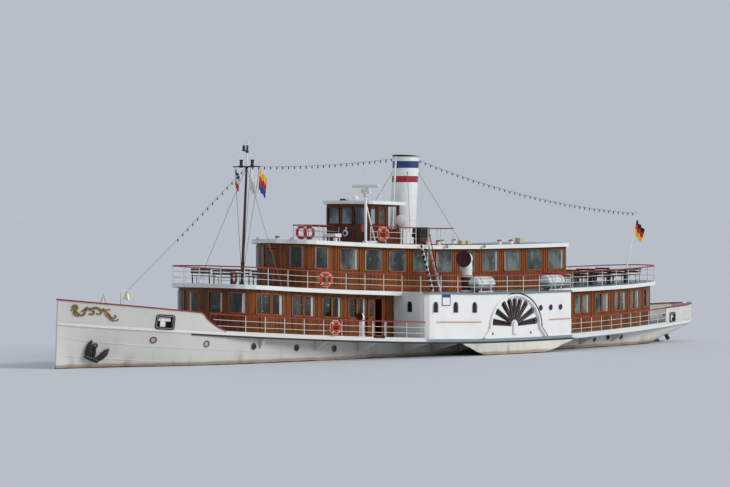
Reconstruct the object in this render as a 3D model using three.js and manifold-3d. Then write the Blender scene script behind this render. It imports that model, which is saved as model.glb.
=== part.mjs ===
// A paddle steamer for river and coastal trips, with two side wheels on one shaft.
// Sizes are real sizes of the full-size ship in metres. The ship group scales them to the model.
// X points forward from amidships, Y to port and Z up from the waterline.
// Until a piece is laid on the sheer, its heights count from the main deck.
import * as THREE from "three";
import { mergeVertices } from "three/addons/utils/BufferGeometryUtils.js";
import Module from "manifold-3d";

const wasm = await Module();
wasm.setup();

// Scale of the model and the gap between pieces that touch
const MODEL_SCALE = 0.5;
const MM_PER_METRE = 1000 * MODEL_SCALE;
const GAP = 0.3 / MM_PER_METRE;
const WELD = 1e-5;
const FAR = 20;

// Heights over the main deck, and plate thicknesses
const PROMENADE = 2.55;
const BOAT_DECK = 5.15;
const MAIN_PLATE = 0.12;
const DECK_PLATE = 0.1;
const FASCIA = 0.22;
const FASCIA_THICK = 0.06;
const WALL = 0.08;
const GLASS = 0.02;
const RAIL_HEIGHT = 0.95;
const RAIL_PITCH = 1.6;

// The sheer: the main deck's height over the waterline
const SHEER = { lowestAt: -2, height: 0.9, foreRise: 1.45, foreRun: 27.8, aftRise: 0.5, aftRun: 23.8 };
const STATION = 4;
const LAST_STATION = 28;

// The paddle wheels and what stands round them
const AXLE = { a: -3.2, z: 1.25, radius: 0.16, half: 5.3 };
const WHEEL = { radius: 1.82, inner: 3.62, outer: 5.0, floats: 9, floatDeep: 0.52, floatThick: 0.05 };
const WELL = { fore: -1.15, aft: -5.25, inner: 3.45, outer: 5.12 };
const HOUSE = { fore: 4.05, aft: -8.1, inner: 2.93, outer: 5.4, wall: 0.06, corner: 0.55 };

// Finishes
const paint = (color, roughness = 0.5, metalness = 0) =>
  new THREE.MeshStandardMaterial({ color, roughness, metalness });
const FINISH = {
  hull: paint(0xc8cac6, 0.45),
  house: paint(0xe9e8e4, 0.45),
  cream: paint(0xe4e0d2, 0.5),
  wood: paint(0x7c431f, 0.4),
  darkWood: paint(0x4e2818, 0.4),
  guard: paint(0x7c8c94, 0.5),
  glass: paint(0x5c6a70, 0.1),
  black: paint(0x1b1c1e, 0.6),
  rail: paint(0x9c4048, 0.5),
  red: paint(0x6a2424, 0.6),
  canister: paint(0xdcdcd8, 0.5),
  steel: paint(0x55585a, 0.5, 0.6),
  cloth: paint(0xb03028, 0.9),
};

const SIDES = [
  { word: "port", side: 1 },
  { word: "starboard", side: -1 },
];

const ship = new THREE.Group();
ship.scale.setScalar(MM_PER_METRE);

// The sheer curve, and the straight lines between stations that every long piece follows
function sheerCurve(a) {
  const { lowestAt, height, foreRise, foreRun, aftRise, aftRun } = SHEER;
  if (a > lowestAt) return height + foreRise * ((a - lowestAt) / foreRun) ** 1.6;
  return height + aftRise * ((lowestAt - a) / aftRun) ** 2;
}

function sheer(a) {
  const station = Math.floor(a / STATION) * STATION;
  return THREE.MathUtils.mapLinear(a, station, station + STATION, sheerCurve(station), sheerCurve(station + STATION));
}

// A row of a table at any place along it, by straight lines between its rows
function between(table, a) {
  const after = table.findIndex((row) => row[0] <= a);
  if (after <= 0) return after === 0 ? table[0] : table[table.length - 1];
  const [high, low] = [table[after - 1], table[after]];
  return high.map((value, i) => THREE.MathUtils.mapLinear(a, high[0], low[0], value, low[i]));
}

// Closed geometry to solid and back
function toSolid(geometry) {
  const loose = geometry.index ? geometry.toNonIndexed() : geometry;
  const bare = new THREE.BufferGeometry().setAttribute("position", loose.getAttribute("position"));
  const merged = mergeVertices(bare, WELD);
  const triVerts = new Uint32Array(merged.index.array);
  const vertProperties = merged.attributes.position.array;
  const made = new wasm.Manifold(new wasm.Mesh({ numProp: 3, vertProperties, triVerts }));
  if (made.volume() > 0) return made;
  for (let i = 0; i < triVerts.length; i += 3) {
    [triVerts[i + 1], triVerts[i + 2]] = [triVerts[i + 2], triVerts[i + 1]];
  }
  return new wasm.Manifold(new wasm.Mesh({ numProp: 3, vertProperties, triVerts }));
}

function toGeometry(solid) {
  const { vertProperties, numProp, triVerts } = solid.getMesh();
  const positions = new Float32Array(triVerts.length * 3);
  triVerts.forEach((vertex, i) => {
    positions.set(vertProperties.subarray(vertex * numProp, vertex * numProp + 3), i * 3);
  });
  return new THREE.BufferGeometry().setAttribute("position", new THREE.BufferAttribute(positions, 3));
}

const join = (...solids) => solids.flat(Infinity).reduce((all, next) => all.add(next));
const cut = (solid, ...tools) => tools.flat(Infinity).reduce((left, tool) => left.subtract(tool), solid);
const moved = (geometry, x, y, z) => toSolid(geometry.translate(x, y, z));

// Shapes: a block, and outlines pushed along one of the three directions
function block([a0, a1], [b0, b1], [z0, z1]) {
  const box = new THREE.BoxGeometry(Math.abs(a1 - a0), Math.abs(b1 - b0), Math.abs(z1 - z0));
  return moved(box, (a0 + a1) / 2, (b0 + b1) / 2, (z0 + z1) / 2);
}

function extruded(outline, depth) {
  const shape = new THREE.Shape(outline.map(([x, y]) => new THREE.Vector2(x, y)));
  return new THREE.ExtrudeGeometry(shape, { depth, bevelEnabled: false, curveSegments: 1 });
}

const planPrism = (outline, [z0, z1]) => moved(extruded(outline, z1 - z0), 0, 0, z0);
const sidePrism = (outline, [b0, b1]) => moved(extruded(outline, b1 - b0).rotateX(Math.PI / 2), 0, b1, 0);
function crossPrism(outline, [a0, a1]) {
  const turn = new THREE.Matrix4().makeBasis(
    new THREE.Vector3(0, 1, 0),
    new THREE.Vector3(0, 0, 1),
    new THREE.Vector3(1, 0, 0),
  );
  return moved(extruded(outline, a1 - a0).applyMatrix4(turn), a0, 0, 0);
}

function rod(from, to, radius, sides = 8, endRadius = radius) {
  const start = new THREE.Vector3(...from);
  const reach = new THREE.Vector3(...to).sub(start);
  const cylinder = new THREE.CylinderGeometry(endRadius, radius, reach.length(), sides);
  const turn = new THREE.Quaternion().setFromUnitVectors(new THREE.Vector3(0, 1, 0), reach.clone().normalize());
  const middle = start.addScaledVector(reach, 0.5);
  return moved(cylinder.applyQuaternion(turn), middle.x, middle.y, middle.z);
}

// A profile of radius and height turned about an upright axis, or one that lies along X
function turned(profile, sides) {
  const points = profile.map(([r, z]) => new THREE.Vector2(r, z));
  return new THREE.LatheGeometry(points, sides).rotateX(Math.PI / 2);
}
const turnedAlongX = (profile, sides) => turned(profile, sides).rotateY(Math.PI / 2);

// Outlines in plan
function arc([centreA, centreB], radius, from, to, steps, radiusB = radius) {
  return Array.from({ length: steps + 1 }, (_, i) => {
    const angle = THREE.MathUtils.degToRad(from + ((to - from) * i) / steps);
    return [centreA + radius * Math.cos(angle), centreB + radiusB * Math.sin(angle)];
  });
}

// The port half of a rounded front, from the centre line outwards
function roundedFront({ tip, half, bow, corner, steps = 4 }) {
  const flat = half - corner;
  const brow = [[tip, 0], [tip - bow * 0.25, flat * 0.5]];
  return [...brow, ...arc([tip - bow - corner, flat], corner, 0, 90, steps)];
}

const mirrored = (portHalf) => [
  ...portHalf,
  ...portHalf.filter(([, b]) => b > WELD).reverse().map(([a, b]) => [a, -b]),
];

// The same outline drawn inwards by a distance, square to each of its sides
function inset(outline, distance) {
  const inward = Math.sign(THREE.ShapeUtils.area(outline.map(([x, y]) => ({ x, y }))));
  return outline.map((here, i) => {
    const before = outline[(i + outline.length - 1) % outline.length];
    const after = outline[(i + 1) % outline.length];
    const [u, v] = [[before, here], [here, after]].map(([p, q]) => {
      const length = Math.hypot(q[0] - p[0], q[1] - p[1]);
      return [(-(q[1] - p[1]) / length) * inward, ((q[0] - p[0]) / length) * inward];
    });
    const spread = 1 + u[0] * v[0] + u[1] * v[1];
    return [0, 1].map((axis) => here[axis] + (distance * (u[axis] + v[axis])) / spread);
  });
}

const ringWall = (outline, thickness, heights) =>
  cut(planPrism(outline, heights), planPrism(inset(outline, thickness), [heights[0] - 1, heights[1] + 1]));

// A body through rings that have the same number of points, closed by flat ends
function loft(rings, flatten) {
  const corners = [];
  const count = rings[0].length;
  for (let r = 0; r + 1 < rings.length; r += 1) {
    for (let i = 0; i < count; i += 1) {
      const j = (i + 1) % count;
      const [p, q, u, v] = [rings[r][i], rings[r][j], rings[r + 1][j], rings[r + 1][i]];
      const span = (from, to) => Math.hypot(...from.map((value, axis) => value - to[axis]));
      if (span(p, u) <= span(q, v)) corners.push(p, q, u, p, u, v);
      else corners.push(p, q, v, q, u, v);
    }
  }
  const turning = (points) => Math.sign(THREE.ShapeUtils.area(points.map(flatten)));
  [rings[0], rings[rings.length - 1]].forEach((ring, end) => {
    const wanted = turning(ring) * (end ? 1 : -1);
    THREE.ShapeUtils.triangulateShape(ring.map(flatten), []).forEach((face) => {
      const points = face.map((k) => ring[k]);
      corners.push(...(turning(points) === wanted ? points : points.reverse()));
    });
  });
  return new THREE.BufferGeometry().setFromPoints(corners.map((p) => new THREE.Vector3(...p)));
}

// A triangle with an edge on a station gets the corners that the next bay has along that edge
function sharedCorners(triangle, cornersAt) {
  for (let i = 0; i < 3; i += 1) {
    const [p, q, apex] = [0, 1, 2].map((k) => triangle[(i + k) % 3]);
    if (p.x !== q.x || !cornersAt.has(p.x)) continue;
    const along = new THREE.Vector3().subVectors(q, p);
    const length = along.length();
    const steps = cornersAt
      .get(p.x)
      .map((corner) => ({ corner, step: corner.clone().sub(p).dot(along) / length }))
      .filter(({ corner, step }) => {
        const aside = p.clone().addScaledVector(along, step / length).distanceTo(corner);
        return step > WELD && step < length - WELD && aside < 3 * WELD;
      })
      .sort((one, other) => one.step - other.step);
    const edge = [p, ...steps.map(({ corner }) => corner), q];
    return edge.slice(1).map((corner, k) => [edge[k], corner, apex]);
  }
  return [triangle];
}

// A solid laid on the sheer: cut into bays at the stations, each bay's corners are lifted,
// and the cut faces between bays are left out again, so that the whole bends at the stations.
function onSheer(solid) {
  const rounded = (value) => Math.round(value / WELD) * WELD;
  let triangles = [];
  const cornersAt = new Map();
  for (let station = -LAST_STATION; station < LAST_STATION; station += STATION) {
    const ends = [station, station + STATION];
    const bay = solid.intersect(block(ends, [-FAR, FAR], [-FAR, FAR]));
    if (bay.isEmpty()) continue;
    const { array } = toGeometry(bay).getAttribute("position");
    for (let i = 0; i < array.length; i += 9) {
      const triangle = [0, 3, 6].map((k) => {
        const p = new THREE.Vector3().fromArray(array, i + k);
        const end = ends.find((x) => Math.abs(p.x - x) < WELD);
        p.set(end ?? rounded(p.x), rounded(p.y), rounded(p.z));
        if (end !== undefined) cornersAt.set(end, [...(cornersAt.get(end) ?? []), p]);
        return p;
      });
      if (!ends.some((end) => triangle.every((p) => p.x === end))) triangles.push(triangle);
    }
  }
  cornersAt.forEach((list, end) => {
    const unlike = new Map(list.map((p) => [`${p.y.toFixed(5)} ${p.z.toFixed(5)}`, p]));
    cornersAt.set(end, [...unlike.values()]);
  });
  triangles = triangles.flatMap((triangle) => sharedCorners(triangle, cornersAt));
  const lifted = triangles.flat().map((p) => p.clone().setZ(p.z + sheer(p.x)));
  return new THREE.BufferGeometry().setFromPoints(lifted);
}

function add(name, finish, geometry, side = 1) {
  const mesh = new THREE.Mesh(geometry, finish);
  mesh.name = name;
  mesh.scale.y = side;
  ship.add(mesh);
  return mesh;
}

// A piece that stands on a sloping deck takes the slope in its foot
const standing = (solid, a, b, level) => onSheer(moved(toGeometry(solid), a, b, level));

// Hull lines. Columns: station, half-breadth at the deck, height of the bottom over the waterline,
// then the shares of that half-breadth at the bottom, the bilge, its upper turn and halfway up.
const HULL_LINES = [
  [26.0, 0.05, -0.9, 0.8, 0.85, 0.9, 0.95],
  [25.2, 0.42, -1.4, 0.08, 0.1, 0.14, 0.35],
  [24, 0.95, -1.5, 0.05, 0.09, 0.2, 0.5],
  [22, 1.82, -1.5, 0.05, 0.15, 0.36, 0.68],
  [20, 2.55, -1.5, 0.1, 0.28, 0.55, 0.82],
  [18, 2.88, -1.5, 0.2, 0.48, 0.74, 0.92],
  [16, 3.06, -1.5, 0.35, 0.66, 0.87, 0.97],
  [14, 3.17, -1.5, 0.5, 0.8, 0.95, 0.99],
  [10, 3.28, -1.5, 0.7, 0.93, 0.99, 1],
  [0, 3.3, -1.5, 0.75, 0.95, 1, 1],
  [-8, 3.3, -1.5, 0.7, 0.93, 0.99, 1],
  [-12, 3.1, -1.45, 0.4, 0.72, 0.92, 0.99],
  [-16, 2.78, -1.1, 0.12, 0.42, 0.72, 0.93],
  [-20, 2.35, -0.3, 0.1, 0.35, 0.62, 0.88],
  [-22, 1.97, 0.28, 0.1, 0.35, 0.62, 0.88],
  [-24, 1.4, 0.78, 0.2, 0.45, 0.7, 0.9],
  [-25.2, 0.75, 1.05, 0.3, 0.5, 0.72, 0.9],
  [-25.65, 0.15, 1.2, 0.5, 0.6, 0.8, 0.9],
];
const HULL_HEIGHTS = [0, 0.06, 0.2, 0.5];
const STEM_LEAN = 0.045;
const KEEL = { z: -1.5, half: 0.07, sternpost: -21.62, heel: -22.1, solePlate: 0.1 };
const hullHalf = (a) => between(HULL_LINES, a)[1];
const hullPlaces = [
  ...new Set([...HULL_LINES.map((row) => row[0]), ...Array.from({ length: 13 }, (_, i) => 24 - i * STATION)]),
].sort((p, q) => q - p);
const lean = (a, z) => a - STEM_LEAN * z * THREE.MathUtils.smoothstep(a, 24, 26);

function buildHull() {
  const rings = hullPlaces.map((a) => {
    const [, half, bottom, ...shares] = between(HULL_LINES, a);
    const top = sheer(a) - MAIN_PLATE - GAP;
    const port = HULL_HEIGHTS.map((height, i) => {
      const z = THREE.MathUtils.lerp(bottom, top, height);
      return [lean(a, z), half * shares[i], z];
    });
    const edge = lean(a, top);
    port.push([edge, half, sheer(edge) - MAIN_PLATE - GAP]);
    return [...port, ...port.map(([x, y, z]) => [x, -y, z]).reverse()];
  });
  const body = toSolid(loft(rings, ([, y, z]) => new THREE.Vector2(y, z)));
  const deadwood = sidePrism(
    [
      [-8, KEEL.z],
      [KEEL.heel, KEEL.z],
      [KEEL.heel, KEEL.z + KEEL.solePlate],
      [KEEL.sternpost, KEEL.z + KEEL.solePlate],
      [KEEL.sternpost, 0.45],
      [-18, -0.55],
      [-14, -1.15],
      [-8, -1.3],
    ],
    [-KEEL.half, KEEL.half],
  );
  const rudderHead = block([-22, -21.6], [-0.14, 0.14], [RUDDER.top + GAP, 0.6]);
  return join(body, deadwood, rudderHead);
}

// Rudder: hung on its stock between the head under the counter and the sole plate
const RUDDER = { top: 0.14, crest: 0.2, stockAt: -21.85, stock: 0.075, blade: 1.35, thick: 0.1 };
function buildRudder() {
  const foot = KEEL.z + KEEL.solePlate + GAP;
  const { top, crest, stock, blade, thick } = RUDDER;
  const bladeOutline = [
    [0, foot + 0.03],
    [-blade * 0.8, foot + 0.08],
    [-blade, foot + 0.5],
    [-blade, crest - 0.35],
    [-blade * 0.75, crest],
    [-0.35, crest],
    [-0.2, top - 0.05],
    [0, top - 0.05],
  ];
  return join(rod([0, 0, foot], [0, 0, top], stock, 12), sidePrism(bladeOutline, [-thick / 2, thick / 2]));
}

// Main deck with the guards that stand out past the hull. Columns: station, half-breadth.
const GUARD = [
  [19.3, 2.72],
  [17, 3.1],
  [12.7, 3.95],
  [6.6, 4.9],
  [4.05, 5.42],
  [-8.1, 5.42],
  [-11.7, 4.6],
  [-16.9, 3.4],
  [-20.8, 2.35],
  [-22, 2.02],
];
const MOULDING = 0.03;
const STRAKE = { thick: 0.12, low: 0.24 };
const KNEE = { thick: 0.1, deep: 0.75, tip: 0.2 };
const KNEES = [14.5, 10.5, 7.2, 3.7, 1.3, -0.95, -5.45, -7.9, -11.7, -15];
const guardHalf = (a) => between(GUARD, a)[1];

function mainDeckOutline() {
  const bow = [25.2, 23.7, 21.9, 20.3].map((a) => [a, hullHalf(a) + MOULDING]);
  const stern = [-23.7, -25.2].map((a) => [a, hullHalf(a) + MOULDING]);
  return mirrored([[25.9, 0.06], ...bow, ...GUARD, ...stern, [-25.68, 0.2]]);
}

// Bitts: two posts on one base plate, a pair each side fore and aft
function buildMainDeck() {
  const outline = mainDeckOutline();
  const plate = planPrism(outline, [-MAIN_PLATE, 0]);
  const strakeRing = ringWall(mirrored(GUARD), STRAKE.thick, [-STRAKE.low, -MAIN_PLATE / 2]);
  const strake = strakeRing.intersect(block([-21.8, 19.1], [-FAR, FAR], [-1, 1]));
  const knees = KNEES.flatMap((a) =>
    SIDES.map(({ side }) => {
      const inner = side * (Math.max(hullHalf(a), hullHalf(a + KNEE.thick)) + MOULDING);
      const outer = side * (guardHalf(a) - STRAKE.thick / 2);
      const bracket = [
        [inner, -MAIN_PLATE / 2],
        [outer, -MAIN_PLATE / 2],
        [outer, -KNEE.tip],
        [inner, -KNEE.deep],
      ];
      return crossPrism(bracket, [a, a + KNEE.thick]);
    }),
  );
  const hullSides = mirrored(HULL_LINES.map(([a, half]) => [a, half + MOULDING / 3]));
  const besideHull = cut(join(strake, knees), planPrism(hullSides, [-2, -MAIN_PLATE + GAP / 2]));
  const wells = SIDES.map(({ side }) =>
    block([WELL.aft, WELL.fore], [side * WELL.inner, side * WELL.outer], [-2, 2]),
  );
  return cut(join(plate, besideHull), wells);
}

// Bulwarks at the bow and the stern. Columns: station, height, flare outwards at the top.
const BOW_BULWARK = [
  [25.85, 1.11, 0],
  [25.2, 1.1, 0.1],
  [24, 1.08, 0.2],
  [22, 1.03, 0.22],
  [20, 0.97, 0.15],
  [18.3, 0.91, 0.05],
  [17.9, 0.86, 0.02],
  [17.5, 0.6, 0],
  [17.2, 0.3, 0],
  [16.9, 0.12, 0],
];
const STERN_BULWARK = [
  [-20.9, 0.9, 0],
  [-22, 0.9, 0],
  [-24, 0.9, 0.05],
  [-25.2, 0.9, 0.05],
  [-25.62, 0.9, 0.03],
];
const PLATING = 0.06;
const BOW_PORT = { a: 20.66, half: 0.39, low: 0.05, high: 0.63 };
const STERN_PORT = { a: -21.75, half: 0.25, low: 0.06, high: 0.5 };

// A bulwark runs along port, round the end of the hull and back, one upright section at each row
function buildBulwark(table, endInner, towards) {
  const sections = table.map(([a, height, flare]) => {
    const half = Math.max(hullHalf(a), PLATING + 0.02);
    const leaning = (z) => (towards > 0 ? lean(a, sheer(a) + z) : a);
    const innerAt = towards > 0 ? Math.min(a, endInner) : Math.max(a, endInner);
    return [
      [leaning(GAP), half, GAP],
      [leaning(height), half + flare, height],
      [innerAt, half + flare - PLATING, height],
      [innerAt, half - PLATING, GAP],
    ];
  });
  const fromAft = towards > 0 ? [...sections].reverse() : sections;
  const starboard = fromAft.map((section) => section.map(([x, y, z]) => [x, -y, z]));
  return toSolid(loft([...fromAft, ...starboard.reverse()], ([, y, z]) => new THREE.Vector2(y, z)));
}

function mooringPort({ a, half, low, high }) {
  return block([a - half, a + half], [-FAR, FAR], [low, high]);
}

// A mooring post with a cross head behind each port, on a foot that reaches the plating
const BOW_BITTS = { a: 20.66, b: 1.95 };
const STERN_BITTS = { a: -21.75, b: 1.55 };
const BITTS = { half: 0.4, inner: 0.15, foot: 0.06, post: 0.1, head: 0.27, headDeep: 0.09, low: 0.4, high: 0.5 };
function buildBitts({ a, b }, side) {
  const { half, inner, foot, post, head, headDeep, low, high } = BITTS;
  const atPlating = (along) => side * (hullHalf(along) - PLATING / 2);
  const base = [
    [a - half, side * (b - inner)],
    [a + half, side * (b - inner)],
    [a + half, atPlating(a + half)],
    [a - half, atPlating(a - half)],
  ];
  return join(
    planPrism(base, [GAP, foot]),
    rod([a, side * b, foot / 2], [a, side * b, high - 0.03], post, 10),
    block([a - head, a + head], [side * b - headDeep, side * b + headDeep], [low, high]),
  );
}

// Paddle box and its rooms: an upright ring of walls on the guard, one each side
const ARCH_WINDOWS = [3.35, 1.72, 0.16];
const ARCH_WINDOW = { half: 0.2, low: 1.45, spring: 1.85 };
const FAN = { a: -3.2, z: 0.73, across: 1.9, up: 1.43, inner: 0.34, half: 0.12, openings: [6, 27, 51, 71, 90] };
const HOOD = { across: 2.15, foot: 2.65, top: 2.42, bar: 0.09, out: 0.13 };

const archOutline = ({ half, low, spring }, centre) => [
  [centre - half, low],
  [centre + half, low],
  ...arc([centre, spring], half, 0, 180, 4),
];

function fanOpening(degrees, mirror) {
  const angle = THREE.MathUtils.degToRad(degrees);
  const along = [Math.cos(angle), Math.sin(angle)];
  const across = [-along[1], along[0]];
  const reach = 1 / Math.hypot(along[0] / FAN.across, along[1] / FAN.up);
  const at = (distance, aside) => [
    FAN.a + mirror * (along[0] * distance + across[0] * aside),
    FAN.z + along[1] * distance + across[1] * aside,
  ];
  return [
    at(FAN.inner, -FAN.half * 0.3),
    at(reach * 0.96, -FAN.half),
    at(reach, 0),
    at(reach * 0.96, FAN.half),
    at(FAN.inner, FAN.half * 0.3),
  ];
}

// The hood moulding is an arch that opens a little towards its foot
function hoodCurve(grow) {
  const springZ = 0.55;
  const arch = arc([FAN.a, springZ], HOOD.across + grow, 0, 180, 10, HOOD.top - springZ + grow);
  return [[FAN.a + HOOD.foot + grow, 0.02], ...arch, [FAN.a - HOOD.foot - grow, 0.02]];
}

function buildPaddleBox() {
  const { fore, aft, inner, outer, wall, corner } = HOUSE;
  const outline = [
    [fore, inner],
    ...arc([fore - corner, outer - corner], corner, 0, 90, 3),
    [aft, outer],
    [aft, inner],
  ];
  const top = PROMENADE - DECK_PLATE - GAP;
  const walls = ringWall(outline, wall, [GAP, top]);
  const through = [outer - 0.4, outer + 0.4];
  const windows = ARCH_WINDOWS.map((centre) => sidePrism(archOutline(ARCH_WINDOW, centre), through));
  const frontWindow = crossPrism(archOutline(ARCH_WINDOW, 4.1), [fore - 0.4, fore + 0.4]);
  const fan = FAN.openings.flatMap((degrees) =>
    (degrees === 90 ? [1] : [1, -1]).map((mirror) => sidePrism(fanOpening(degrees, mirror), through)),
  );
  const shaftWay = block([AXLE.a - 0.25, AXLE.a + 0.25], [inner - 1, inner + 1], [0.1, 0.6]);
  const hood = cut(
    sidePrism(hoodCurve(0), [outer - wall / 2, outer + HOOD.out]),
    sidePrism(hoodCurve(-HOOD.bar), [outer - 1, outer + 1]),
  );
  const boss = sidePrism(arc([FAN.a, FAN.z], 0.1, 0, 360, 8, 0.125).slice(1), [outer - wall, outer + 0.09]);
  const foot = block([FAN.a - 0.15, FAN.a + 0.15], [outer - wall, outer + 0.03], [0.2, FAN.z]);
  return join(cut(walls, windows, frontWindow, fan, shaftWay), hood, boss, foot);
}

const SPLASH = { outer: 5.4, thick: 0.05, fore: 1.07, aft: -8.2, flatFore: -1.04, flatAft: -5.48 };
function buildSplashPlate() {
  const top = -STRAKE.low - GAP;
  const water = -sheerCurve(AXLE.a);
  const scallop = (from, to) =>
    [0.25, 0.5, 0.75].map((t) => [
      THREE.MathUtils.lerp(from, to, t),
      THREE.MathUtils.lerp(top - 0.06, water, Math.sin((t * Math.PI) / 2) ** 1.4),
    ]);
  const outline = [
    [SPLASH.fore, top],
    [SPLASH.fore, top - 0.06],
    ...scallop(SPLASH.fore, SPLASH.flatFore),
    [SPLASH.flatFore, water],
    [SPLASH.flatAft, water],
    ...scallop(SPLASH.aft, SPLASH.flatAft).reverse(),
    [SPLASH.aft, top - 0.06],
    [SPLASH.aft, top],
  ];
  return sidePrism(outline, [SPLASH.outer - SPLASH.thick, SPLASH.outer]);
}

// Paddle wheel about its own axle, which lies along Y
const SHAFT_SIDES = 16;
const SHAFT_FLAT = Math.cos(Math.PI / SHAFT_SIDES);

// A hole that fits the shaft's own flats, for what turns with it
const fixedBore = (b0, b1) => rod([0, b0, 0], [0, b1, 0], AXLE.radius + GAP / SHAFT_FLAT, SHAFT_SIDES);

// A hole that clears the shaft's corners as it turns, with a flat against each corner at rest
function runningBore(b0, b1) {
  const hole = toGeometry(rod([0, b0, 0], [0, b1, 0], (AXLE.radius + GAP) / SHAFT_FLAT, SHAFT_SIDES));
  return toSolid(hole.rotateY(Math.PI / SHAFT_SIDES));
}

function buildWheel() {
  const { radius, inner, outer, floats, floatDeep, floatThick } = WHEEL;
  const arms = [inner + 0.14, outer - 0.18];
  const ringBand = [radius - 0.62, radius - 0.54];
  const hub = rod([0, inner, 0], [0, outer, 0], 0.3, 12);
  const rings = arms.map((b) =>
    cut(
      rod([0, b, 0], [0, b + 0.05, 0], ringBand[1], floats),
      rod([0, b - 1, 0], [0, b + 1, 0], ringBand[0], floats),
    ),
  );
  const spokes = Array.from({ length: floats }, (_, i) => {
    const angle = (i * 2 * Math.PI) / floats;
    const turnedBox = (width, deep, height, b, r) =>
      toSolid(new THREE.BoxGeometry(width, deep, height).translate(0, b, r).rotateY(angle));
    const board = turnedBox(floatThick, outer - inner, floatDeep, (inner + outer) / 2, radius - floatDeep / 2);
    const bars = arms.map((b) => turnedBox(0.09, 0.04, radius - 0.25, b + 0.025, (radius + 0.15) / 2));
    return [board, ...bars];
  });
  return cut(join(hub, rings, spokes), fixedBore(inner - 1, outer + 1));
}

// The highest deck under a piece beside the axle, from the axle's own height
const deckUnder = (aft, fore) => Math.max(sheer(AXLE.a + aft), sheer(AXLE.a + fore)) - AXLE.z + GAP;

function buildOuterBearing() {
  const foot = deckUnder(-0.4, 0.4);
  const pedestal = [
    [-0.4, foot],
    [0.4, foot],
    [0.4, foot + 0.1],
    [0.28, foot + 0.16],
    [0.26, 0.1],
    [0.12, 0.28],
    [-0.12, 0.28],
    [-0.26, 0.1],
    [-0.28, foot + 0.16],
    [-0.4, foot + 0.1],
  ];
  return cut(sidePrism(pedestal, [WELL.outer + 0.02, HOUSE.outer - HOUSE.wall - 0.04]), runningBore(4, 6));
}

function buildEngine() {
  const foot = deckUnder(-2.1, 2.2);
  return cut(block([-2.1, 2.2], [-1.3, 1.3], [foot, 1.35]), runningBore(-FAR, FAR));
}

// Deckhouses. A window row's columns: fore edge, aft edge, sill, head.
const FORE_HOUSE = { tip: 15.65, half: 2.95, bow: 0.25, corner: 1.3, aft: 4.12 };
const MAIN_SILL = 1.05;
const MAIN_HEAD = 2.12;
const FORE_WINDOWS = [
  [14.2, 13.6],
  [13.5, 12.67],
  [11.98, 11.18],
  [11.1, 10.3],
  [9.68, 8.98],
  [8.92, 8.23],
  [7.67, 7.02],
  [6.95, 6.3],
];
const DOORWAY = { fore: 5.62, aft: 5.0, sill: 0.12, head: 2.15, leaf: 0.6, high: 1.98 };
const AFT_DOORWAY = { fore: -9.5, aft: -10.2 };
const AFT_HOUSE = [
  [-8.14, 2.93],
  [-13, 2.93],
  [-15.1, 2.88],
  [-17, 2.57],
  [-18.8, 2.07],
  [-20.3, 1.45],
  [-20.85, 0.8],
  [-21, 0],
];
const AFT_PAIRS = { first: -11.4, pitch: 1.85, count: 5 };
const AFT_WINDOWS = Array.from({ length: AFT_PAIRS.count }, (_, i) => AFT_PAIRS.first - i * AFT_PAIRS.pitch).flatMap((fore) => [
  [fore, fore - 0.62],
  [fore - 0.7, fore - 1.32],
]);
const SALOON = { tip: 10.7, half: 2.2, bow: 0.5, corner: 1.2, aft: -11.5 };
const SALOON_WINDOWS = { first: 7.51, pitch: 1.93, width: 1.4, count: 10, sill: 1.1, head: 2.25 };
const WHEELHOUSE = { fore: 4.7, aft: 2.2, enclosed: 3.2, half: 1.64, waist: 0.85, top: 2.2, sill: 1.05, head: 1.95 };

const foreHouseOutline = () => mirrored([...roundedFront(FORE_HOUSE), [FORE_HOUSE.aft, FORE_HOUSE.half]]);
const saloonOutline = () => mirrored([...roundedFront(SALOON), [SALOON.aft, SALOON.half]]);
const aftHouseOutline = () => mirrored(AFT_HOUSE);

const sideWindows = (rows, sill, head) => rows.map(([fore, aft]) => block([aft, fore], [-FAR, FAR], [sill, head]));
const endWindow = (b0, b1, [a0, a1], [low, high]) =>
  SIDES.map(({ side }) => block([a0, a1], [side * b0, side * b1], [low, high]));

// A window cut out of a rounded corner, between two angles about the corner's centre
function cornerWindow({ tip, half, bow, corner }, from, to, [low, high]) {
  const centre = [tip - bow - corner, half - corner];
  const wedge = [...arc(centre, corner + 0.4, from, to, 2), ...arc(centre, corner - 0.4, to, from, 2)];
  return SIDES.map(({ side }) => planPrism(wedge.map(([a, b]) => [a, b * side]), [low, high]));
}

const mainTop = PROMENADE - DECK_PLATE - GAP;
const saloonTop = BOAT_DECK - DECK_PLATE - GAP;

function glassBand(outline, [sill, head], ...gaps) {
  const margin = 0.06;
  return cut(ringWall(inset(outline, WALL + GAP), GLASS, [sill - margin, head + margin]), gaps);
}

function buildForeHouse() {
  const lights = [MAIN_SILL, MAIN_HEAD];
  const front = [FORE_HOUSE.tip - 0.7, FORE_HOUSE.tip + 1];
  return cut(
    ringWall(foreHouseOutline(), WALL, [GAP, mainTop]),
    sideWindows(FORE_WINDOWS, ...lights),
    endWindow(0.36, 1.3, front, lights),
    cornerWindow(FORE_HOUSE, 14, 38, lights),
    cornerWindow(FORE_HOUSE, 48, 80, lights),
    block([DOORWAY.aft, DOORWAY.fore], [-FAR, FAR], [DOORWAY.sill, DOORWAY.head]),
  );
}

function buildAftHouse() {
  const lights = [MAIN_SILL, MAIN_HEAD];
  return cut(
    ringWall(aftHouseOutline(), WALL, [GAP, mainTop]),
    sideWindows(AFT_WINDOWS, ...lights),
    block([AFT_DOORWAY.aft, AFT_DOORWAY.fore], [-FAR, FAR], [DOORWAY.sill, DOORWAY.head]),
  );
}

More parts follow.
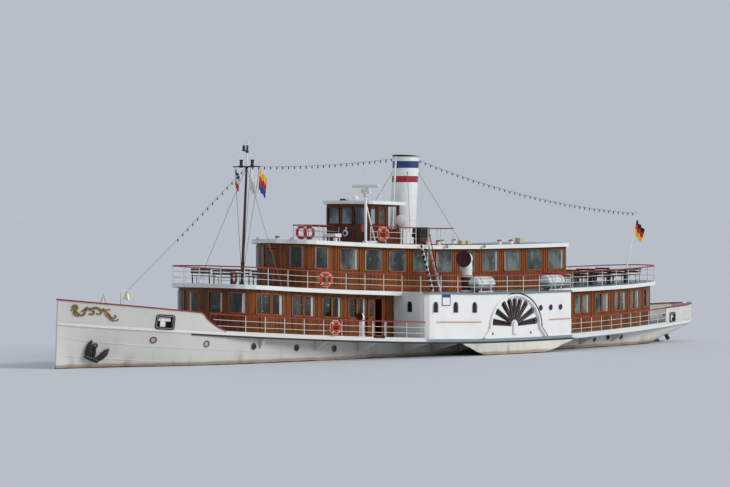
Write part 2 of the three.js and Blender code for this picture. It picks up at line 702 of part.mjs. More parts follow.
const FRONT_DOOR = { a: 10.61, half: 0.42, sill: 0.12, head: 2.1, leaf: 0.82, high: 1.93, lift: 0.016 };
function buildSaloon() {
  const { first, pitch, width, count, sill, head } = SALOON_WINDOWS;
  const lights = [PROMENADE + sill, PROMENADE + head];
  const rows = Array.from({ length: count }, (_, i) => [first - i * pitch, first - i * pitch - width]);
  const front = [SALOON.tip - 0.8, SALOON.tip + 1];
  return cut(
    ringWall(saloonOutline(), WALL, [PROMENADE + GAP, saloonTop]),
    sideWindows(rows, ...lights),
    endWindow(0.6, 0.95, front, lights),
    cornerWindow(SALOON, 12, 42, lights),
    cornerWindow(SALOON, 52, 84, lights),
    block(front, [-FRONT_DOOR.half, FRONT_DOOR.half], [PROMENADE + FRONT_DOOR.sill, PROMENADE + FRONT_DOOR.head]),
    block([SALOON.aft - 1, SALOON.aft + 0.5], [-0.45, 0.45], [PROMENADE + 0.12, PROMENADE + 2.1]),
  );
}

// Wheelhouse: glazed in front, open behind its side doors above a waist-high wall
const BRIDGE_DOOR = { fore: 3.98, aft: 3.3, sill: 0.1, head: 2.0, leaf: 0.66, high: 1.86 };
function buildWheelhouse() {
  const { fore, aft, enclosed, half, waist, top, sill, head } = WHEELHOUSE;
  const outline = mirrored([[fore, 0], [fore, half - 0.12], [fore - 0.12, half], [aft, half]]);
  const shell = ringWall(outline, WALL, [BOAT_DECK + GAP, BOAT_DECK + top]);
  const base = BOAT_DECK;
  return cut(
    shell,
    block([aft + 0.14, enclosed], [-FAR, FAR], [base + waist, base + top - 0.12]),
    block([aft - 1, aft + 0.6], [-half + 0.14, half - 0.14], [base + waist, base + top - 0.12]),
    block([aft - 1, aft + 0.6], [-0.4, 0.4], [base + 0.1, base + waist + 0.1]),
    block([fore - 0.5, fore + 0.5], [-0.42, 0.42], [base + sill, base + head]),
    endWindow(0.55, 1.42, [fore - 0.5, fore + 0.5], [base + sill, base + head]),
    sideWindows([[fore - 0.16, 4.1]], base + sill, base + head),
    block([BRIDGE_DOOR.aft, BRIDGE_DOOR.fore], [-FAR, FAR], [base + BRIDGE_DOOR.sill, base + BRIDGE_DOOR.head]),
  );
}

function buildWheelhouseGlass() {
  const { fore, half, sill, head } = WHEELHOUSE;
  const outline = mirrored([[fore, 0], [fore, half - 0.12], [fore - 0.12, half], [4.05, half]]);
  const open = block([3, 4.2], [-half + WALL + 2 * GLASS, half - WALL - 2 * GLASS], [0, FAR]);
  return glassBand(outline, [BOAT_DECK + sill, BOAT_DECK + head], open);
}

function buildWheelhouseRoof() {
  const outline = mirrored([[4.95, 0], [4.9, 0.9], [4.72, 1.7], [4.55, 1.83], [1.97, 1.83]]);
  const low = BOAT_DECK + WHEELHOUSE.top + GAP;
  return planPrism(outline, [low, low + 0.1]);
}

// Decks of the two upper levels
const PROMENADE_FRONT = { tip: 16.0, half: 3.2, bow: 0.3, corner: 1.4 };
const promenadeOutline = () =>
  mirrored([
    ...roundedFront(PROMENADE_FRONT),
    [12, 3.3],
    [6, 3.55],
    [4.12, 3.62],
    ...arc([3.57, 4.9], 0.55, 0, 90, 3),
    [-8.17, 5.45],
    [-8.17, 3.32],
    [-13, 3.3],
    [-15, 3.2],
    [-17, 2.92],
    [-18.8, 2.45],
    [-20.3, 1.85],
    [-21.0, 1.1],
    [-21.25, 0],
  ]);
const boatDeckOutline = () =>
  mirrored([
    ...roundedFront({ tip: 10.95, half: 2.5, bow: 0.55, corner: 1.35 }),
    [-11.4, 2.5],
    [-11.65, 2.2],
    [-11.65, 0],
  ]);

// A deck plate with a fascia hung round its edge, apart from where a wall stands close under it
function deckWithFascia(outline, top, bare = []) {
  const rim = ringWall(outline, FASCIA_THICK, [top - FASCIA, top - DECK_PLATE / 2]);
  return join(planPrism(outline, [top - DECK_PLATE, top]), cut(rim, bare));
}

const overPaddleBoxes = SIDES.map(({ side }) =>
  block([-8.3, 4.3], [side * 3.66, side * FAR], [0, PROMENADE - DECK_PLATE]),
);

// Railings. Bars' columns: low edge, high edge over the deck.
const BARS = [
  [0.45, 0.485],
  [RAIL_HEIGHT - 0.05, RAIL_HEIGHT],
];
const KERB = [0, 0.07];
const POST = 0.05;

// Posts every pitch along a path, and one at each sharp corner
function postPlaces(path, closed = false, pitch = RAIL_PITCH) {
  const points = path.map(([a, b]) => new THREE.Vector2(a, b));
  const turnAt = (i) => {
    const [before, here, after] = [-1, 0, 1].map((k) => points[(i + k + points.length) % points.length]);
    const bend = here.clone().sub(before).angle() - after.clone().sub(here).angle();
    return Math.abs(THREE.MathUtils.euclideanModulo(bend + Math.PI, 2 * Math.PI) - Math.PI);
  };
  const sharp = points.map((_, i) => turnAt(i) > 0.7);
  if (!closed) sharp[0] = sharp[points.length - 1] = true;
  const first = Math.max(sharp.indexOf(true), 0);
  const loop = closed ? [...points.slice(first), ...points.slice(0, first), points[first]] : points;
  const marks = loop.map((p, i) => i === 0 || i === loop.length - 1 || sharp[(i + first) % points.length]);
  const posts = [];
  let start = 0;
  marks.forEach((marked, end) => {
    if (!marked || end === 0) return;
    const run = new THREE.CurvePath();
    for (let i = start; i < end; i += 1) run.add(new THREE.LineCurve(loop[i], loop[i + 1]));
    const steps = Math.max(1, Math.round(run.getLength() / pitch));
    for (let i = 0; i < steps; i += 1) posts.push(run.getPointAt(i / steps).toArray());
    start = end;
  });
  if (!closed) posts.push(loop[loop.length - 1].toArray());
  return posts;
}

// One closed mesh of posts and bars. A gate bay keeps only the kerb.
function railing(posts, level, { closed = false, kerb = false, gate = -1, foot = GAP } = {}) {
  const bars = kerb ? [KERB, ...BARS] : BARS;
  const edges = [foot, ...bars.flat().filter((z) => z > 0)];
  const isBar = (row) => bars.some(([low]) => Math.abs(Math.max(low, foot) - edges[row]) < WELD);
  const columns = posts.flatMap((post, i) => {
    const here = new THREE.Vector2(...post);
    const ahead = posts[i + 1] ?? (closed ? posts[0] : null);
    const behind = posts[i - 1] ?? (closed ? posts[posts.length - 1] : null);
    const towards = (p, q) => new THREE.Vector2().subVectors(q, p).normalize();
    const out = ahead ? towards(here, new THREE.Vector2(...ahead)) : null;
    const into = behind ? towards(new THREE.Vector2(...behind), here) : null;
    return [
      { at: here.clone().addScaledVector(into ?? out, -POST / 2), run: into ?? out },
      { at: here.clone().addScaledVector(out ?? into, POST / 2), run: out ?? into },
    ];
  });
  const point = (column, row, side) => {
    const { at, run } = columns[column % columns.length];
    const a = at.x - (run.y * POST * side) / 2;
    return [a, at.y + (run.x * POST * side) / 2, edges[row] + level + sheer(a)];
  };
  const cells = closed ? columns.length : columns.length - 1;
  const rows = edges.length - 1;
  const filled = (column, row) => {
    const c = closed ? (column + cells) % cells : column;
    if (c < 0 || c >= cells || row < 0 || row >= rows) return false;
    if (c % 2 === 0) return true;
    return isBar(row) && (row === 0 || (c - 1) / 2 !== gate);
  };
  const corners = [];
  const quad = (p, q, r, s) => corners.push(p, q, r, p, r, s);
  for (let c = 0; c < cells; c += 1) {
    for (let r = 0; r < rows; r += 1) {
      if (!filled(c, r)) continue;
      const [p, q] = [c, c + 1];
      quad(point(p, r, -1), point(q, r, -1), point(q, r + 1, -1), point(p, r + 1, -1));
      quad(point(q, r, 1), point(p, r, 1), point(p, r + 1, 1), point(q, r + 1, 1));
      if (!filled(c, r + 1)) quad(point(p, r + 1, -1), point(q, r + 1, -1), point(q, r + 1, 1), point(p, r + 1, 1));
      if (!filled(c, r - 1)) quad(point(p, r, 1), point(q, r, 1), point(q, r, -1), point(p, r, -1));
      if (!filled(c - 1, r)) quad(point(p, r, 1), point(p, r, -1), point(p, r + 1, -1), point(p, r + 1, 1));
      if (!filled(c + 1, r)) quad(point(q, r, -1), point(q, r, 1), point(q, r + 1, 1), point(q, r + 1, -1));
    }
  }
  const loose = new THREE.BufferGeometry().setFromPoints(corners.map((p) => new THREE.Vector3(...p)));
  return toGeometry(toSolid(loose));
}

const RAIL_INSET = 0.07;
const GATE = { fore: 7.6, aft: 6.7, clear: 0.07, foot: 0.14 };
const railEdge = (a) => [a, guardHalf(a) - RAIL_INSET];

// Funnel, mast and other pieces that stand on the decks
const FUNNEL = { a: 0.22, radius: 0.735, wall: 0.05, height: 5.0, rake: 0.36, sides: 20 };
function buildFunnel() {
  const { radius, wall, height, rake, sides } = FUNNEL;
  const top = [-rake, 0, height];
  const outer = rod([0, 0, 0], top, radius, sides);
  const rim = rod([-rake * 0.985, 0, height * 0.985], top, radius + 0.035, sides);
  const collar = rod([0, 0, 0], [-rake * 0.03, 0, height * 0.03], radius + 0.1, sides);
  const steamPipe = rod([radius + 0.1, 0, 0], [radius + 0.1 - rake * 0.8, 0, height * 0.8], 0.06, 8);
  const flue = rod([rake * 0.1, 0, -height * 0.1], [-rake * 1.1, 0, height * 1.1], radius - wall, sides);
  const flat = block([-2, 2], [-2, 2], [GAP, FAR]);
  return cut(join(outer, rim, collar, steamPipe), flue).intersect(flat);
}

const MAST = { a: 12.8, rake: 0.44, height: 7.75, foot: 0.09, head: 0.045, yardAt: 6.25, yard: 1.03 };
function buildMast() {
  const { rake, height, foot, head, yardAt, yard } = MAST;
  const along = (z) => (-rake * z) / height;
  const pole = rod([0, 0, 0], [along(height), 0, height], foot, 10, head);
  const spar = rod([along(yardAt), -yard, yardAt], [along(yardAt), yard, yardAt], 0.04, 6);
  const lamps = [-0.4, 0.4].map((b) => rod([along(yardAt), b, yardAt - 0.05], [along(yardAt), b, yardAt + 0.34], 0.1, 8));
  const arm = block([along(7.2), along(7.2) + 0.3], [-0.03, 0.03], [7.2, 7.26]);
  const lantern = rod([along(7.2) + 0.25, 0, 7.2], [along(7.2) + 0.25, 0, 7.5], 0.08, 8);
  const tabernacle = rod([0, 0, 0], [along(0.2), 0, 0.2], 0.16, 10);
  const flat = block([-2, 2], [-2, 2], [GAP, FAR]);
  return join(pole, spar, lamps, arm, lantern, tabernacle).intersect(flat);
}

const RADAR = { a: 5.5, b: 2.2, height: 2.75, post: 0.07, gearbox: 0.25 };
function buildRadarPost() {
  const { height, post, gearbox } = RADAR;
  const column = rod([0, 0, GAP], [0, 0, height], post, 8);
  const strut = rod([-0.75, 0, GAP + 0.1], [0, 0, height * 0.8], 0.04, 6);
  const foot = block([-0.85, 0.12], [-0.12, 0.12], [GAP, 0.1]);
  const table = block([-0.3, 0.3], [-0.18, 0.18], [height - 0.04, height]);
  const dome = [
    [0, height - 0.02],
    [0.2, height - 0.02],
    [0.22, height + 0.12],
    [0.12, height + gearbox],
    [0, height + gearbox],
  ];
  return join(column, strut, foot, table, toSolid(turned(dome, 12)));
}
function buildScanner() {
  const spindle = rod([0, 0, GAP], [0, 0, 0.1], 0.06, 8);
  return join(spindle, block([-0.09, 0.09], [-1, 1], [0.08, 0.2]));
}

const COWL = { a: -0.9, b: 3.9, trunk: 0.29, mouth: 0.45, height: 1.85 };
function buildCowl({ trunk, mouth, height }) {
  const stem = rod([0, 0, GAP], [0, 0, height], trunk, 14);
  const base = rod([0, 0, GAP], [0, 0, 0.12], trunk + 0.07, 14);
  const bell = turnedAlongX(
    [[0, -trunk * 1.15], [trunk * 0.8, -trunk * 0.85], [trunk * 1.1, 0], [mouth * 0.9, trunk], [mouth, trunk * 1.5], [0, trunk * 1.5]],
    14,
  );
  const hollow = turnedAlongX(
    [[0, -trunk * 0.6], [trunk * 0.75, 0], [mouth * 0.82, trunk], [mouth * 0.92, trunk * 2], [0, trunk * 2]],
    14,
  );
  return cut(join(stem, base, moved(bell, 0, 0, height)), moved(hollow, 0, 0, height));
}

const RAFTS = [
  { word: "fore", a: -1.01, b: 4.9 },
  { word: "aft", a: -7.05, b: 4.9 },
];
const RAFT = { radius: 0.37, half: 0.9, lift: 0.14 };
function buildRaft() {
  const { radius, half, lift } = RAFT;
  const middle = lift + radius;
  const capsule = turnedAlongX(
    [[0, -half], [radius * 0.8, -half], [radius, -half + 0.12], [radius, half - 0.12], [radius * 0.8, half], [0, half]],
    16,
  );
  const saddle = (a) => block([a - 0.05, a + 0.05], [-radius * 0.85, radius * 0.85], [GAP, middle - 0.12]);
  const runners = [-0.28, 0.28].map((b) => block([-half * 0.8, half * 0.8], [b - 0.04, b + 0.04], [GAP, 0.08]));
  return join(moved(capsule, 0, 0, middle), saddle(-0.5), saddle(0.5), runners);
}

const STAIR = { a: 1.2, half: 0.33, footB: 3.45, headB: 2.56, treads: 8, stringer: 0.05 };
function buildStair() {
  const rise = BOAT_DECK - PROMENADE;
  const { half, footB, headB, treads, stringer } = STAIR;
  const slope = (footB - headB) / rise;
  const stringerOutline = [
    [footB + 0.16, GAP],
    [footB - 0.06, GAP],
    [headB, rise - 0.1],
    [headB, rise],
    [headB + 0.16, rise],
  ];
  const stringers = [-half, half - stringer].map((a) => crossPrism(stringerOutline, [a, a + stringer]));
  const steps = Array.from({ length: treads }, (_, i) => {
    const z = ((i + 1) * rise) / (treads + 1);
    const b = footB - slope * z;
    return block([-half, half], [b - 0.06, b + 0.15], [z, z + 0.035]);
  });
  return join(stringers, steps);
}

const ANCHOR = { a: 24.4, b: 0.6685, z: 0.6, lean: 0.21 };
function buildAnchor() {
  const shank = rod([0, 0, 0.05], [0, 0, 0.85], 0.06, 6);
  const crown = block([-0.32, 0.32], [-0.1, 0.1], [-0.02, 0.16]);
  const flukes = [-1, 1].map((way) =>
    sidePrism([[way * 0.16, 0], [way * 0.36, 0], [way * 0.46, 0.3], [way * 0.36, 0.62]], [-0.07, 0.07]),
  );
  return join(shank, crown, flukes);
}

const BELL_DAVIT_AT = 21.5;
function buildBellDavit() {
  const post = rod([0, 0, GAP], [0, 0, 1.55], 0.05, 8);
  const hook = new THREE.CatmullRomCurve3(
    [[0, 0, 1.5], [-0.05, 0, 1.75], [-0.22, 0, 1.88], [-0.42, 0, 1.8]].map((p) => new THREE.Vector3(...p)),
  );
  const section = new THREE.Shape(arc([0, 0], 0.045, 0, 315, 7).map(([x, y]) => new THREE.Vector2(x, y)));
  const neck = toSolid(new THREE.ExtrudeGeometry(section, { extrudePath: hook, steps: 8, bevelEnabled: false }));
  const foot = rod([0, 0, GAP], [0, 0, 0.08], 0.14, 8);
  const bell = turned([[0, 1.42], [0.2, 1.42], [0.15, 1.52], [0.1, 1.68], [0.04, 1.76], [0, 1.76]], 12);
  return join(post, neck, foot, moved(bell, -0.4, 0, 0));
}

const WINDLASS_AT = 22.9;
function buildWindlass() {
  const barrel = rod([0, -0.75, 0.45], [0, 0.75, 0.45], 0.2, 12);
  const ends = [-0.75, 0.55].map((b) => rod([0, b, 0.45], [0, b + 0.2, 0.45], 0.28, 12));
  const cheeks = [-0.4, 0.3].map((b) => block([-0.3, 0.3], [b, b + 0.1], [GAP, 0.55]));
  return join(barrel, ends, cheeks, block([-0.4, 0.4], [-0.5, 0.5], [GAP, 0.1]));
}

const STAFF = { a: -19.6, height: 4.15, rake: 1.3 };
function buildFlagstaff() {
  const { height, rake } = STAFF;
  const pole = rod([0, 0, 0], [-rake, 0, height], 0.05, 8, 0.025);
  const truck = rod([-rake, 0, height - 0.03], [-rake - 0.02, 0, height + 0.05], 0.06, 8);
  const shoe = rod([0, 0, 0], [-rake * 0.06, 0, height * 0.06], 0.1, 8);
  return join(pole, truck, shoe).intersect(block([-3, 3], [-1, 1], [GAP, FAR]));
}

// The ensign hangs in folds from the staff, so its solid is a narrow leaf
function buildEnsign() {
  const { height, rake } = STAFF;
  const at = (z) => (-rake * z) / height;
  const clear = 0.0348;
  const leaf = [
    [at(height - 0.2) - clear, height - 0.2],
    [at(height - 1.5) - clear, height - 1.5],
    [at(height - 1.5) - 0.35, height - 1.75],
    [at(height - 0.2) - 0.55, height - 1.1],
  ];
  return sidePrism(leaf, [-0.05, 0.05]);
}

// A door about its own hinge line, opened flat against its wall: the leaf runs along +X off the wall.
// Its knuckle turns a hair off the wall's face.
const KNUCKLE = { off: 0.01, radius: 0.01 - GAP };
const LEAF = { thick: 0.05, edge: 0.02 };
function buildDoor(width, height) {
  const { thick, edge } = LEAF;
  const leaf = block([edge, width], [KNUCKLE.off, KNUCKLE.off + thick], [GAP, height]);
  const knuckle = rod([0, 0, 0.1], [0, 0, height - 0.1], KNUCKLE.radius, 8);
  const strap = block([0, edge + 0.02], [0.002, KNUCKLE.off + 0.01], [0.12, height - 0.12]);
  return toGeometry(join(leaf, knuckle, strap));
}

// A gate in the main rail, hung on a pin that stands on the kerb
function buildGate() {
  const hinge = railEdge(GATE.fore - GATE.clear);
  const latch = railEdge(GATE.aft + GATE.clear);
  const panel = railing([hinge, latch], 0, { foot: GATE.foot });
  const pinFoot = sheer(hinge[0]) + KERB[1] + GAP * 3;
  const pin = rod([...hinge, pinFoot], [...hinge, pinFoot + 0.2], 0.02, 8);
  return toGeometry(join(toSolid(panel), pin));
}

// The ship, put together
add("hull", FINISH.hull, toGeometry(buildHull()));
add("rudder", FINISH.red, toGeometry(buildRudder())).position.set(RUDDER.stockAt, 0, 0);
add("main_deck", FINISH.guard, onSheer(buildMainDeck()));
const bothBitts = (place) => SIDES.map(({ side }) => buildBitts(place, side));
const bowBulwark = join(cut(buildBulwark(BOW_BULWARK, 25.6, 1), mooringPort(BOW_PORT)), bothBitts(BOW_BITTS));
add("bow_bulwark", FINISH.hull, onSheer(bowBulwark));
const sternBulwark = join(cut(buildBulwark(STERN_BULWARK, -25.5, -1), mooringPort(STERN_PORT)), bothBitts(STERN_BITTS));
add("stern_bulwark", FINISH.hull, onSheer(sternBulwark));

const axlePoint = new THREE.Vector3(AXLE.a, 0, AXLE.z);
const shaft = rod([0, -AXLE.half, 0], [0, AXLE.half, 0], AXLE.radius, SHAFT_SIDES);
add("paddle_shaft", FINISH.steel, toGeometry(shaft)).position.copy(axlePoint);
add("engine_block", FINISH.black, toGeometry(buildEngine())).position.copy(axlePoint);
SIDES.forEach(({ word, side }) => {
  add(`paddle_wheel_${word}`, FINISH.red, toGeometry(buildWheel()), side).position.copy(axlePoint);
  add(`shaft_bearing_${word}`, FINISH.steel, toGeometry(buildOuterBearing()), side).position.copy(axlePoint);
  add(`paddle_box_${word}`, FINISH.house, onSheer(buildPaddleBox()), side);
  add(`splash_plate_${word}`, FINISH.cream, onSheer(buildSplashPlate()), side);
});

const mainLights = [MAIN_SILL, MAIN_HEAD];
add("fore_deckhouse", FINISH.wood, onSheer(buildForeHouse()));
const behindDoors = block([0, DOORWAY.fore + 0.1], [-FAR, FAR], [0, FAR]);
add("fore_deckhouse_glass", FINISH.glass, onSheer(glassBand(foreHouseOutline(), mainLights, behindDoors)));
add("aft_deckhouse", FINISH.wood, onSheer(buildAftHouse()));
const aheadOfWindows = block([-11.3, 0], [-FAR, FAR], [0, FAR]);
add("aft_deckhouse_glass", FINISH.glass, onSheer(glassBand(aftHouseOutline(), mainLights, aheadOfWindows)));
add("promenade_deck", FINISH.house, onSheer(deckWithFascia(promenadeOutline(), PROMENADE, overPaddleBoxes)));
add("upper_saloon", FINISH.wood, onSheer(buildSaloon()));
const saloonLights = [PROMENADE + SALOON_WINDOWS.sill, PROMENADE + SALOON_WINDOWS.head];
const otherHalf = block([-FAR, FAR], [-FAR, 0.5], [0, FAR]);
SIDES.forEach(({ word, side }) => {
  const half = glassBand(saloonOutline(), saloonLights, otherHalf);
  add(`upper_saloon_glass_${word}`, FINISH.glass, onSheer(half), side);
});
add("boat_deck", FINISH.house, onSheer(deckWithFascia(boatDeckOutline(), BOAT_DECK)));
add("wheelhouse", FINISH.darkWood, onSheer(buildWheelhouse()));
add("wheelhouse_glass", FINISH.glass, onSheer(buildWheelhouseGlass()));
add("wheelhouse_roof", FINISH.house, onSheer(buildWheelhouseRoof()));

add("funnel", FINISH.house, standing(buildFunnel(), FUNNEL.a, 0, BOAT_DECK));
add("mast", FINISH.darkWood, standing(buildMast(), MAST.a, 0, PROMENADE));
const radarFoot = sheer(RADAR.a + 0.12) + BOAT_DECK;
add("radar_post", FINISH.house, toGeometry(buildRadarPost())).position.set(RADAR.a, RADAR.b, radarFoot);
const scannerFoot = radarFoot + RADAR.height + RADAR.gearbox;
add("radar_scanner", FINISH.house, toGeometry(buildScanner())).position.set(RADAR.a, RADAR.b, scannerFoot);
add("bell_davit", FINISH.house, standing(buildBellDavit(), BELL_DAVIT_AT, 0, 0));
add("windlass", FINISH.black, standing(buildWindlass(), WINDLASS_AT, 0, 0));
add("flagstaff", FINISH.house, standing(buildFlagstaff(), STAFF.a, 0, PROMENADE));
add("ensign", FINISH.cloth, standing(buildEnsign(), STAFF.a, 0, PROMENADE));

SIDES.forEach(({ word, side }) => {
  add(`vent_cowl_${word}`, FINISH.house, standing(buildCowl(COWL), COWL.a, COWL.b, PROMENADE), side);
  RAFTS.forEach((raft) => {
    add(`life_raft_${raft.word}_${word}`, FINISH.canister, standing(buildRaft(), raft.a, raft.b, PROMENADE), side);
  });
  add(`stair_${word}`, FINISH.house, standing(buildStair(), STAIR.a, 0, PROMENADE), side);
  const anchor = add(`anchor_${word}`, FINISH.black, toGeometry(buildAnchor()), side);
  anchor.position.set(ANCHOR.a, side * ANCHOR.b, ANCHOR.z);
  anchor.rotation.x = -side * ANCHOR.lean;

  const sideDoor = add(`side_door_${word}`, FINISH.wood, buildDoor(DOORWAY.leaf, DOORWAY.high), side);
  sideDoor.position.set(DOORWAY.fore, side * (FORE_HOUSE.half + KNUCKLE.off), sheer(6.2) + DOORWAY.sill);
  const bridgeDoor = add(`wheelhouse_door_${word}`, FINISH.darkWood, buildDoor(BRIDGE_DOOR.leaf, BRIDGE_DOOR.high), side);
  const bridgeFoot = sheer(BRIDGE_DOOR.fore) + BOAT_DECK + BRIDGE_DOOR.sill;
  bridgeDoor.position.set(BRIDGE_DOOR.fore, side * (WHEELHOUSE.half + KNUCKLE.off), bridgeFoot);
  bridgeDoor.rotation.z = Math.PI;
  add(`gate_${word}`, FINISH.rail, buildGate(), side);

  const foreRun = [16.75, 15.3, 13.9, 12.5, 11.1, 9.8, 8.7, GATE.fore, GATE.aft, 5.4, 4.15].map(railEdge);
  const gateBay = foreRun.findIndex(([a]) => a === GATE.fore);
  add(`main_rail_fore_${word}`, FINISH.rail, railing(foreRun, 0, { kerb: true, gate: gateBay }), side);
  const aftRun = postPlaces([-8.2, -11.7, -16.9, -20.75].map(railEdge));
  add(`main_rail_aft_${word}`, FINISH.rail, railing(aftRun, 0, { kerb: true }), side);
});

const frontDoor = add("saloon_door", FINISH.wood, buildDoor(FRONT_DOOR.leaf, FRONT_DOOR.high));
frontDoor.position.set(FRONT_DOOR.a, -FRONT_DOOR.half, sheer(FRONT_DOOR.a) + PROMENADE + FRONT_DOOR.sill + FRONT_DOOR.lift);
frontDoor.rotation.z = Math.PI / 2;

const promenadeRail = postPlaces(inset(promenadeOutline(), RAIL_INSET), true);
add("promenade_rail", FINISH.rail, railing(promenadeRail, PROMENADE, { closed: true }));
const boatFront = inset(boatDeckOutline(), RAIL_INSET).filter(([a]) => a > 2);
const turnRound = boatFront.findIndex(([, b]) => b < 0);
const foreRail = [
  [1.7, -2.43],
  ...boatFront.slice(turnRound),
  ...boatFront.slice(0, turnRound),
  [1.7, 2.43],
];
add("boat_deck_rail_fore", FINISH.rail, railing(postPlaces(foreRail), BOAT_DECK));
const aftRail = [[0.7, 2.43], [-1.4, 2.43], [-1.4, -2.43], [0.7, -2.43]];
add("boat_deck_rail_aft", FINISH.rail, railing(postPlaces(aftRail), BOAT_DECK));

export default ship;
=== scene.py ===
"""A paddle steamer at half size: paint, varnish, rails, rigging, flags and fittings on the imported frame."""

import logging
import math
from dataclasses import dataclass
from enum import Enum
from typing import Callable, Optional, Sequence, Union

import bmesh
import bpy
from mathutils import Matrix, Vector


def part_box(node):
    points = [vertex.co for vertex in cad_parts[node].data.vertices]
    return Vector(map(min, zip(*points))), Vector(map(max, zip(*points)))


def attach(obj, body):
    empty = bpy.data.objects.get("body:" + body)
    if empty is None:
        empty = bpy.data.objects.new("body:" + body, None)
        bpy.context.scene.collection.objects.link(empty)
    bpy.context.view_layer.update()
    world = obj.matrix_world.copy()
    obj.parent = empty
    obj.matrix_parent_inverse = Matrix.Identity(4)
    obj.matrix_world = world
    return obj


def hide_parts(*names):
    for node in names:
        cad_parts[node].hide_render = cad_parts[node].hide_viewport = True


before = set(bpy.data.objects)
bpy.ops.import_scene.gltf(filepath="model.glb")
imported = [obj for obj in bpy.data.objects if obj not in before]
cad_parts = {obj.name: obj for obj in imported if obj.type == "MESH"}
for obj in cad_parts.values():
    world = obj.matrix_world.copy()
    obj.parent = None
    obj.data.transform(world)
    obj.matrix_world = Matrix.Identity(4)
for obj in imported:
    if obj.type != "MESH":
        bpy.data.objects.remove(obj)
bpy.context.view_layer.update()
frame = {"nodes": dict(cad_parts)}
LOG = logging.getLogger("paddle_steamer")

# All sizes below are metres of the full-size ship, until a piece is finished at half size
MODEL_SCALE = 0.5
STATION = 4.0
PROMENADE = 2.55
BOAT_DECK = 5.15
RAIL_HEIGHT = 0.95
UP = Vector((0, 0, 1))

Colour = tuple[float, float, float, float]
Point = Sequence[float]
Pair = tuple[float, float]
Triple = tuple[float, float, float]
Outline = Sequence[Pair]
Table = Sequence[Sequence[float]]
Taper = Optional[Callable[[float], float]]


def rgb(code: str) -> Colour:
    """Turn a six-figure colour code into a linear colour.

    Args:
        code: Six hexadecimal figures after a hash sign.

    Returns:
        The linear red, green and blue, with an alpha of 1.
    """
    shares = [int(code[i : i + 2], 16) / 255 for i in (1, 3, 5)]
    linear = [c / 12.92 if c < 0.04045 else ((c + 0.055) / 1.055) ** 2.4 for c in shares]
    return (*linear, 1.0)


def sheer_curve(a: float) -> float:
    """Height of the main deck over the waterline on the smooth sheer curve.

    Args:
        a: Station.

    Returns:
        The height.
    """
    if a > -2:
        return 0.9 + 1.45 * ((a + 2) / 27.8) ** 1.6
    return 0.9 + 0.5 * ((-2 - a) / 23.8) ** 2


def sheer(a: float) -> float:
    """Height of the main deck, by straight lines between the stations.

    Args:
        a: Station.

    Returns:
        The height.
    """
    start = math.floor(a / STATION) * STATION
    share = (a - start) / STATION
    return sheer_curve(start) * (1 - share) + sheer_curve(start + STATION) * share


def at(a: float, b: float, height: float = 0.0) -> Vector:
    """A point at a station, a half-breadth and a height over the main deck."""
    return Vector((a, b, sheer(a) + height))


def between(table: Table, a: float) -> list[float]:
    """Read a table of descending stations at any station.

    Args:
        table: Rows that start with their station, from forward to aft.
        a: The station wanted.

    Returns:
        A row at that station, by straight lines between the table's rows.
    """
    for high, low in zip(table, table[1:]):
        if low[0] <= a <= high[0]:
            share = (a - low[0]) / (high[0] - low[0])
            return [lo + (hi - lo) * share for lo, hi in zip(low, high)]
    return list(table[0] if a > table[0][0] else table[-1])


def eased(table: Table, a: float) -> list[float]:
    """Read a table of descending stations on a smooth curve that never overshoots its rows.

    Args:
        table: Rows that start with their station, from forward to aft.
        a: The station wanted.

    Returns:
        A row at that station.
    """
    last = len(table) - 1
    k = next((i for i in range(last) if table[i + 1][0] <= a <= table[i][0]), None)
    if k is None:
        return list(table[0] if a > table[0][0] else table[-1])
    rise = lambda i, c: (table[i][c] - table[i + 1][c]) / (table[i][0] - table[i + 1][0])

    def slope(i: int, c: int) -> float:
        """The curve's slope at a row, in a column."""
        one, other = rise(max(i - 1, 0), c), rise(min(i, last - 1), c)
        return 2 * one * other / (one + other) if one * other > 0 else 0.0

    high, low = table[k], table[k + 1]
    long = high[0] - low[0]
    t = (a - low[0]) / long
    row = [a]
    for c in range(1, len(high)):
        start = (2 * t**3 - 3 * t**2 + 1) * low[c] + (t**3 - 2 * t**2 + t) * long * slope(k + 1, c)
        row.append(start + (3 * t**2 - 2 * t**3) * high[c] + (t**3 - t**2) * long * slope(k, c))
    return row


# Station, half-breadth at the deck, height of the bottom, then shares of the half-breadth upwards
HULL_LINES = [
    (26.0, 0.05, -0.9, 0.8, 0.85, 0.9, 0.95),
    (25.2, 0.42, -1.4, 0.08, 0.1, 0.14, 0.35),
    (24, 0.95, -1.5, 0.05, 0.09, 0.2, 0.5),
    (22, 1.82, -1.5, 0.05, 0.15, 0.36, 0.68),
    (20, 2.55, -1.5, 0.1, 0.28, 0.55, 0.82),
    (18, 2.88, -1.5, 0.2, 0.48, 0.74, 0.92),
    (16, 3.06, -1.5, 0.35, 0.66, 0.87, 0.97),
    (14, 3.17, -1.5, 0.5, 0.8, 0.95, 0.99),
    (10, 3.28, -1.5, 0.7, 0.93, 0.99, 1),
    (0, 3.3, -1.5, 0.75, 0.95, 1, 1),
    (-8, 3.3, -1.5, 0.7, 0.93, 0.99, 1),
    (-12, 3.1, -1.45, 0.4, 0.72, 0.92, 0.99),
    (-16, 2.78, -1.1, 0.12, 0.42, 0.72, 0.93),
    (-20, 2.35, -0.3, 0.1, 0.35, 0.62, 0.88),
    (-22, 1.97, 0.28, 0.1, 0.35, 0.62, 0.88),
    (-24, 1.4, 0.78, 0.2, 0.45, 0.7, 0.9),
    (-25.2, 0.75, 1.05, 0.3, 0.5, 0.72, 0.9),
    (-25.65, 0.15, 1.2, 0.5, 0.6, 0.8, 0.9),
]
HULL_SHARES = (0, 0.06, 0.2, 0.5, 1)
DECK_PLATE = 0.12
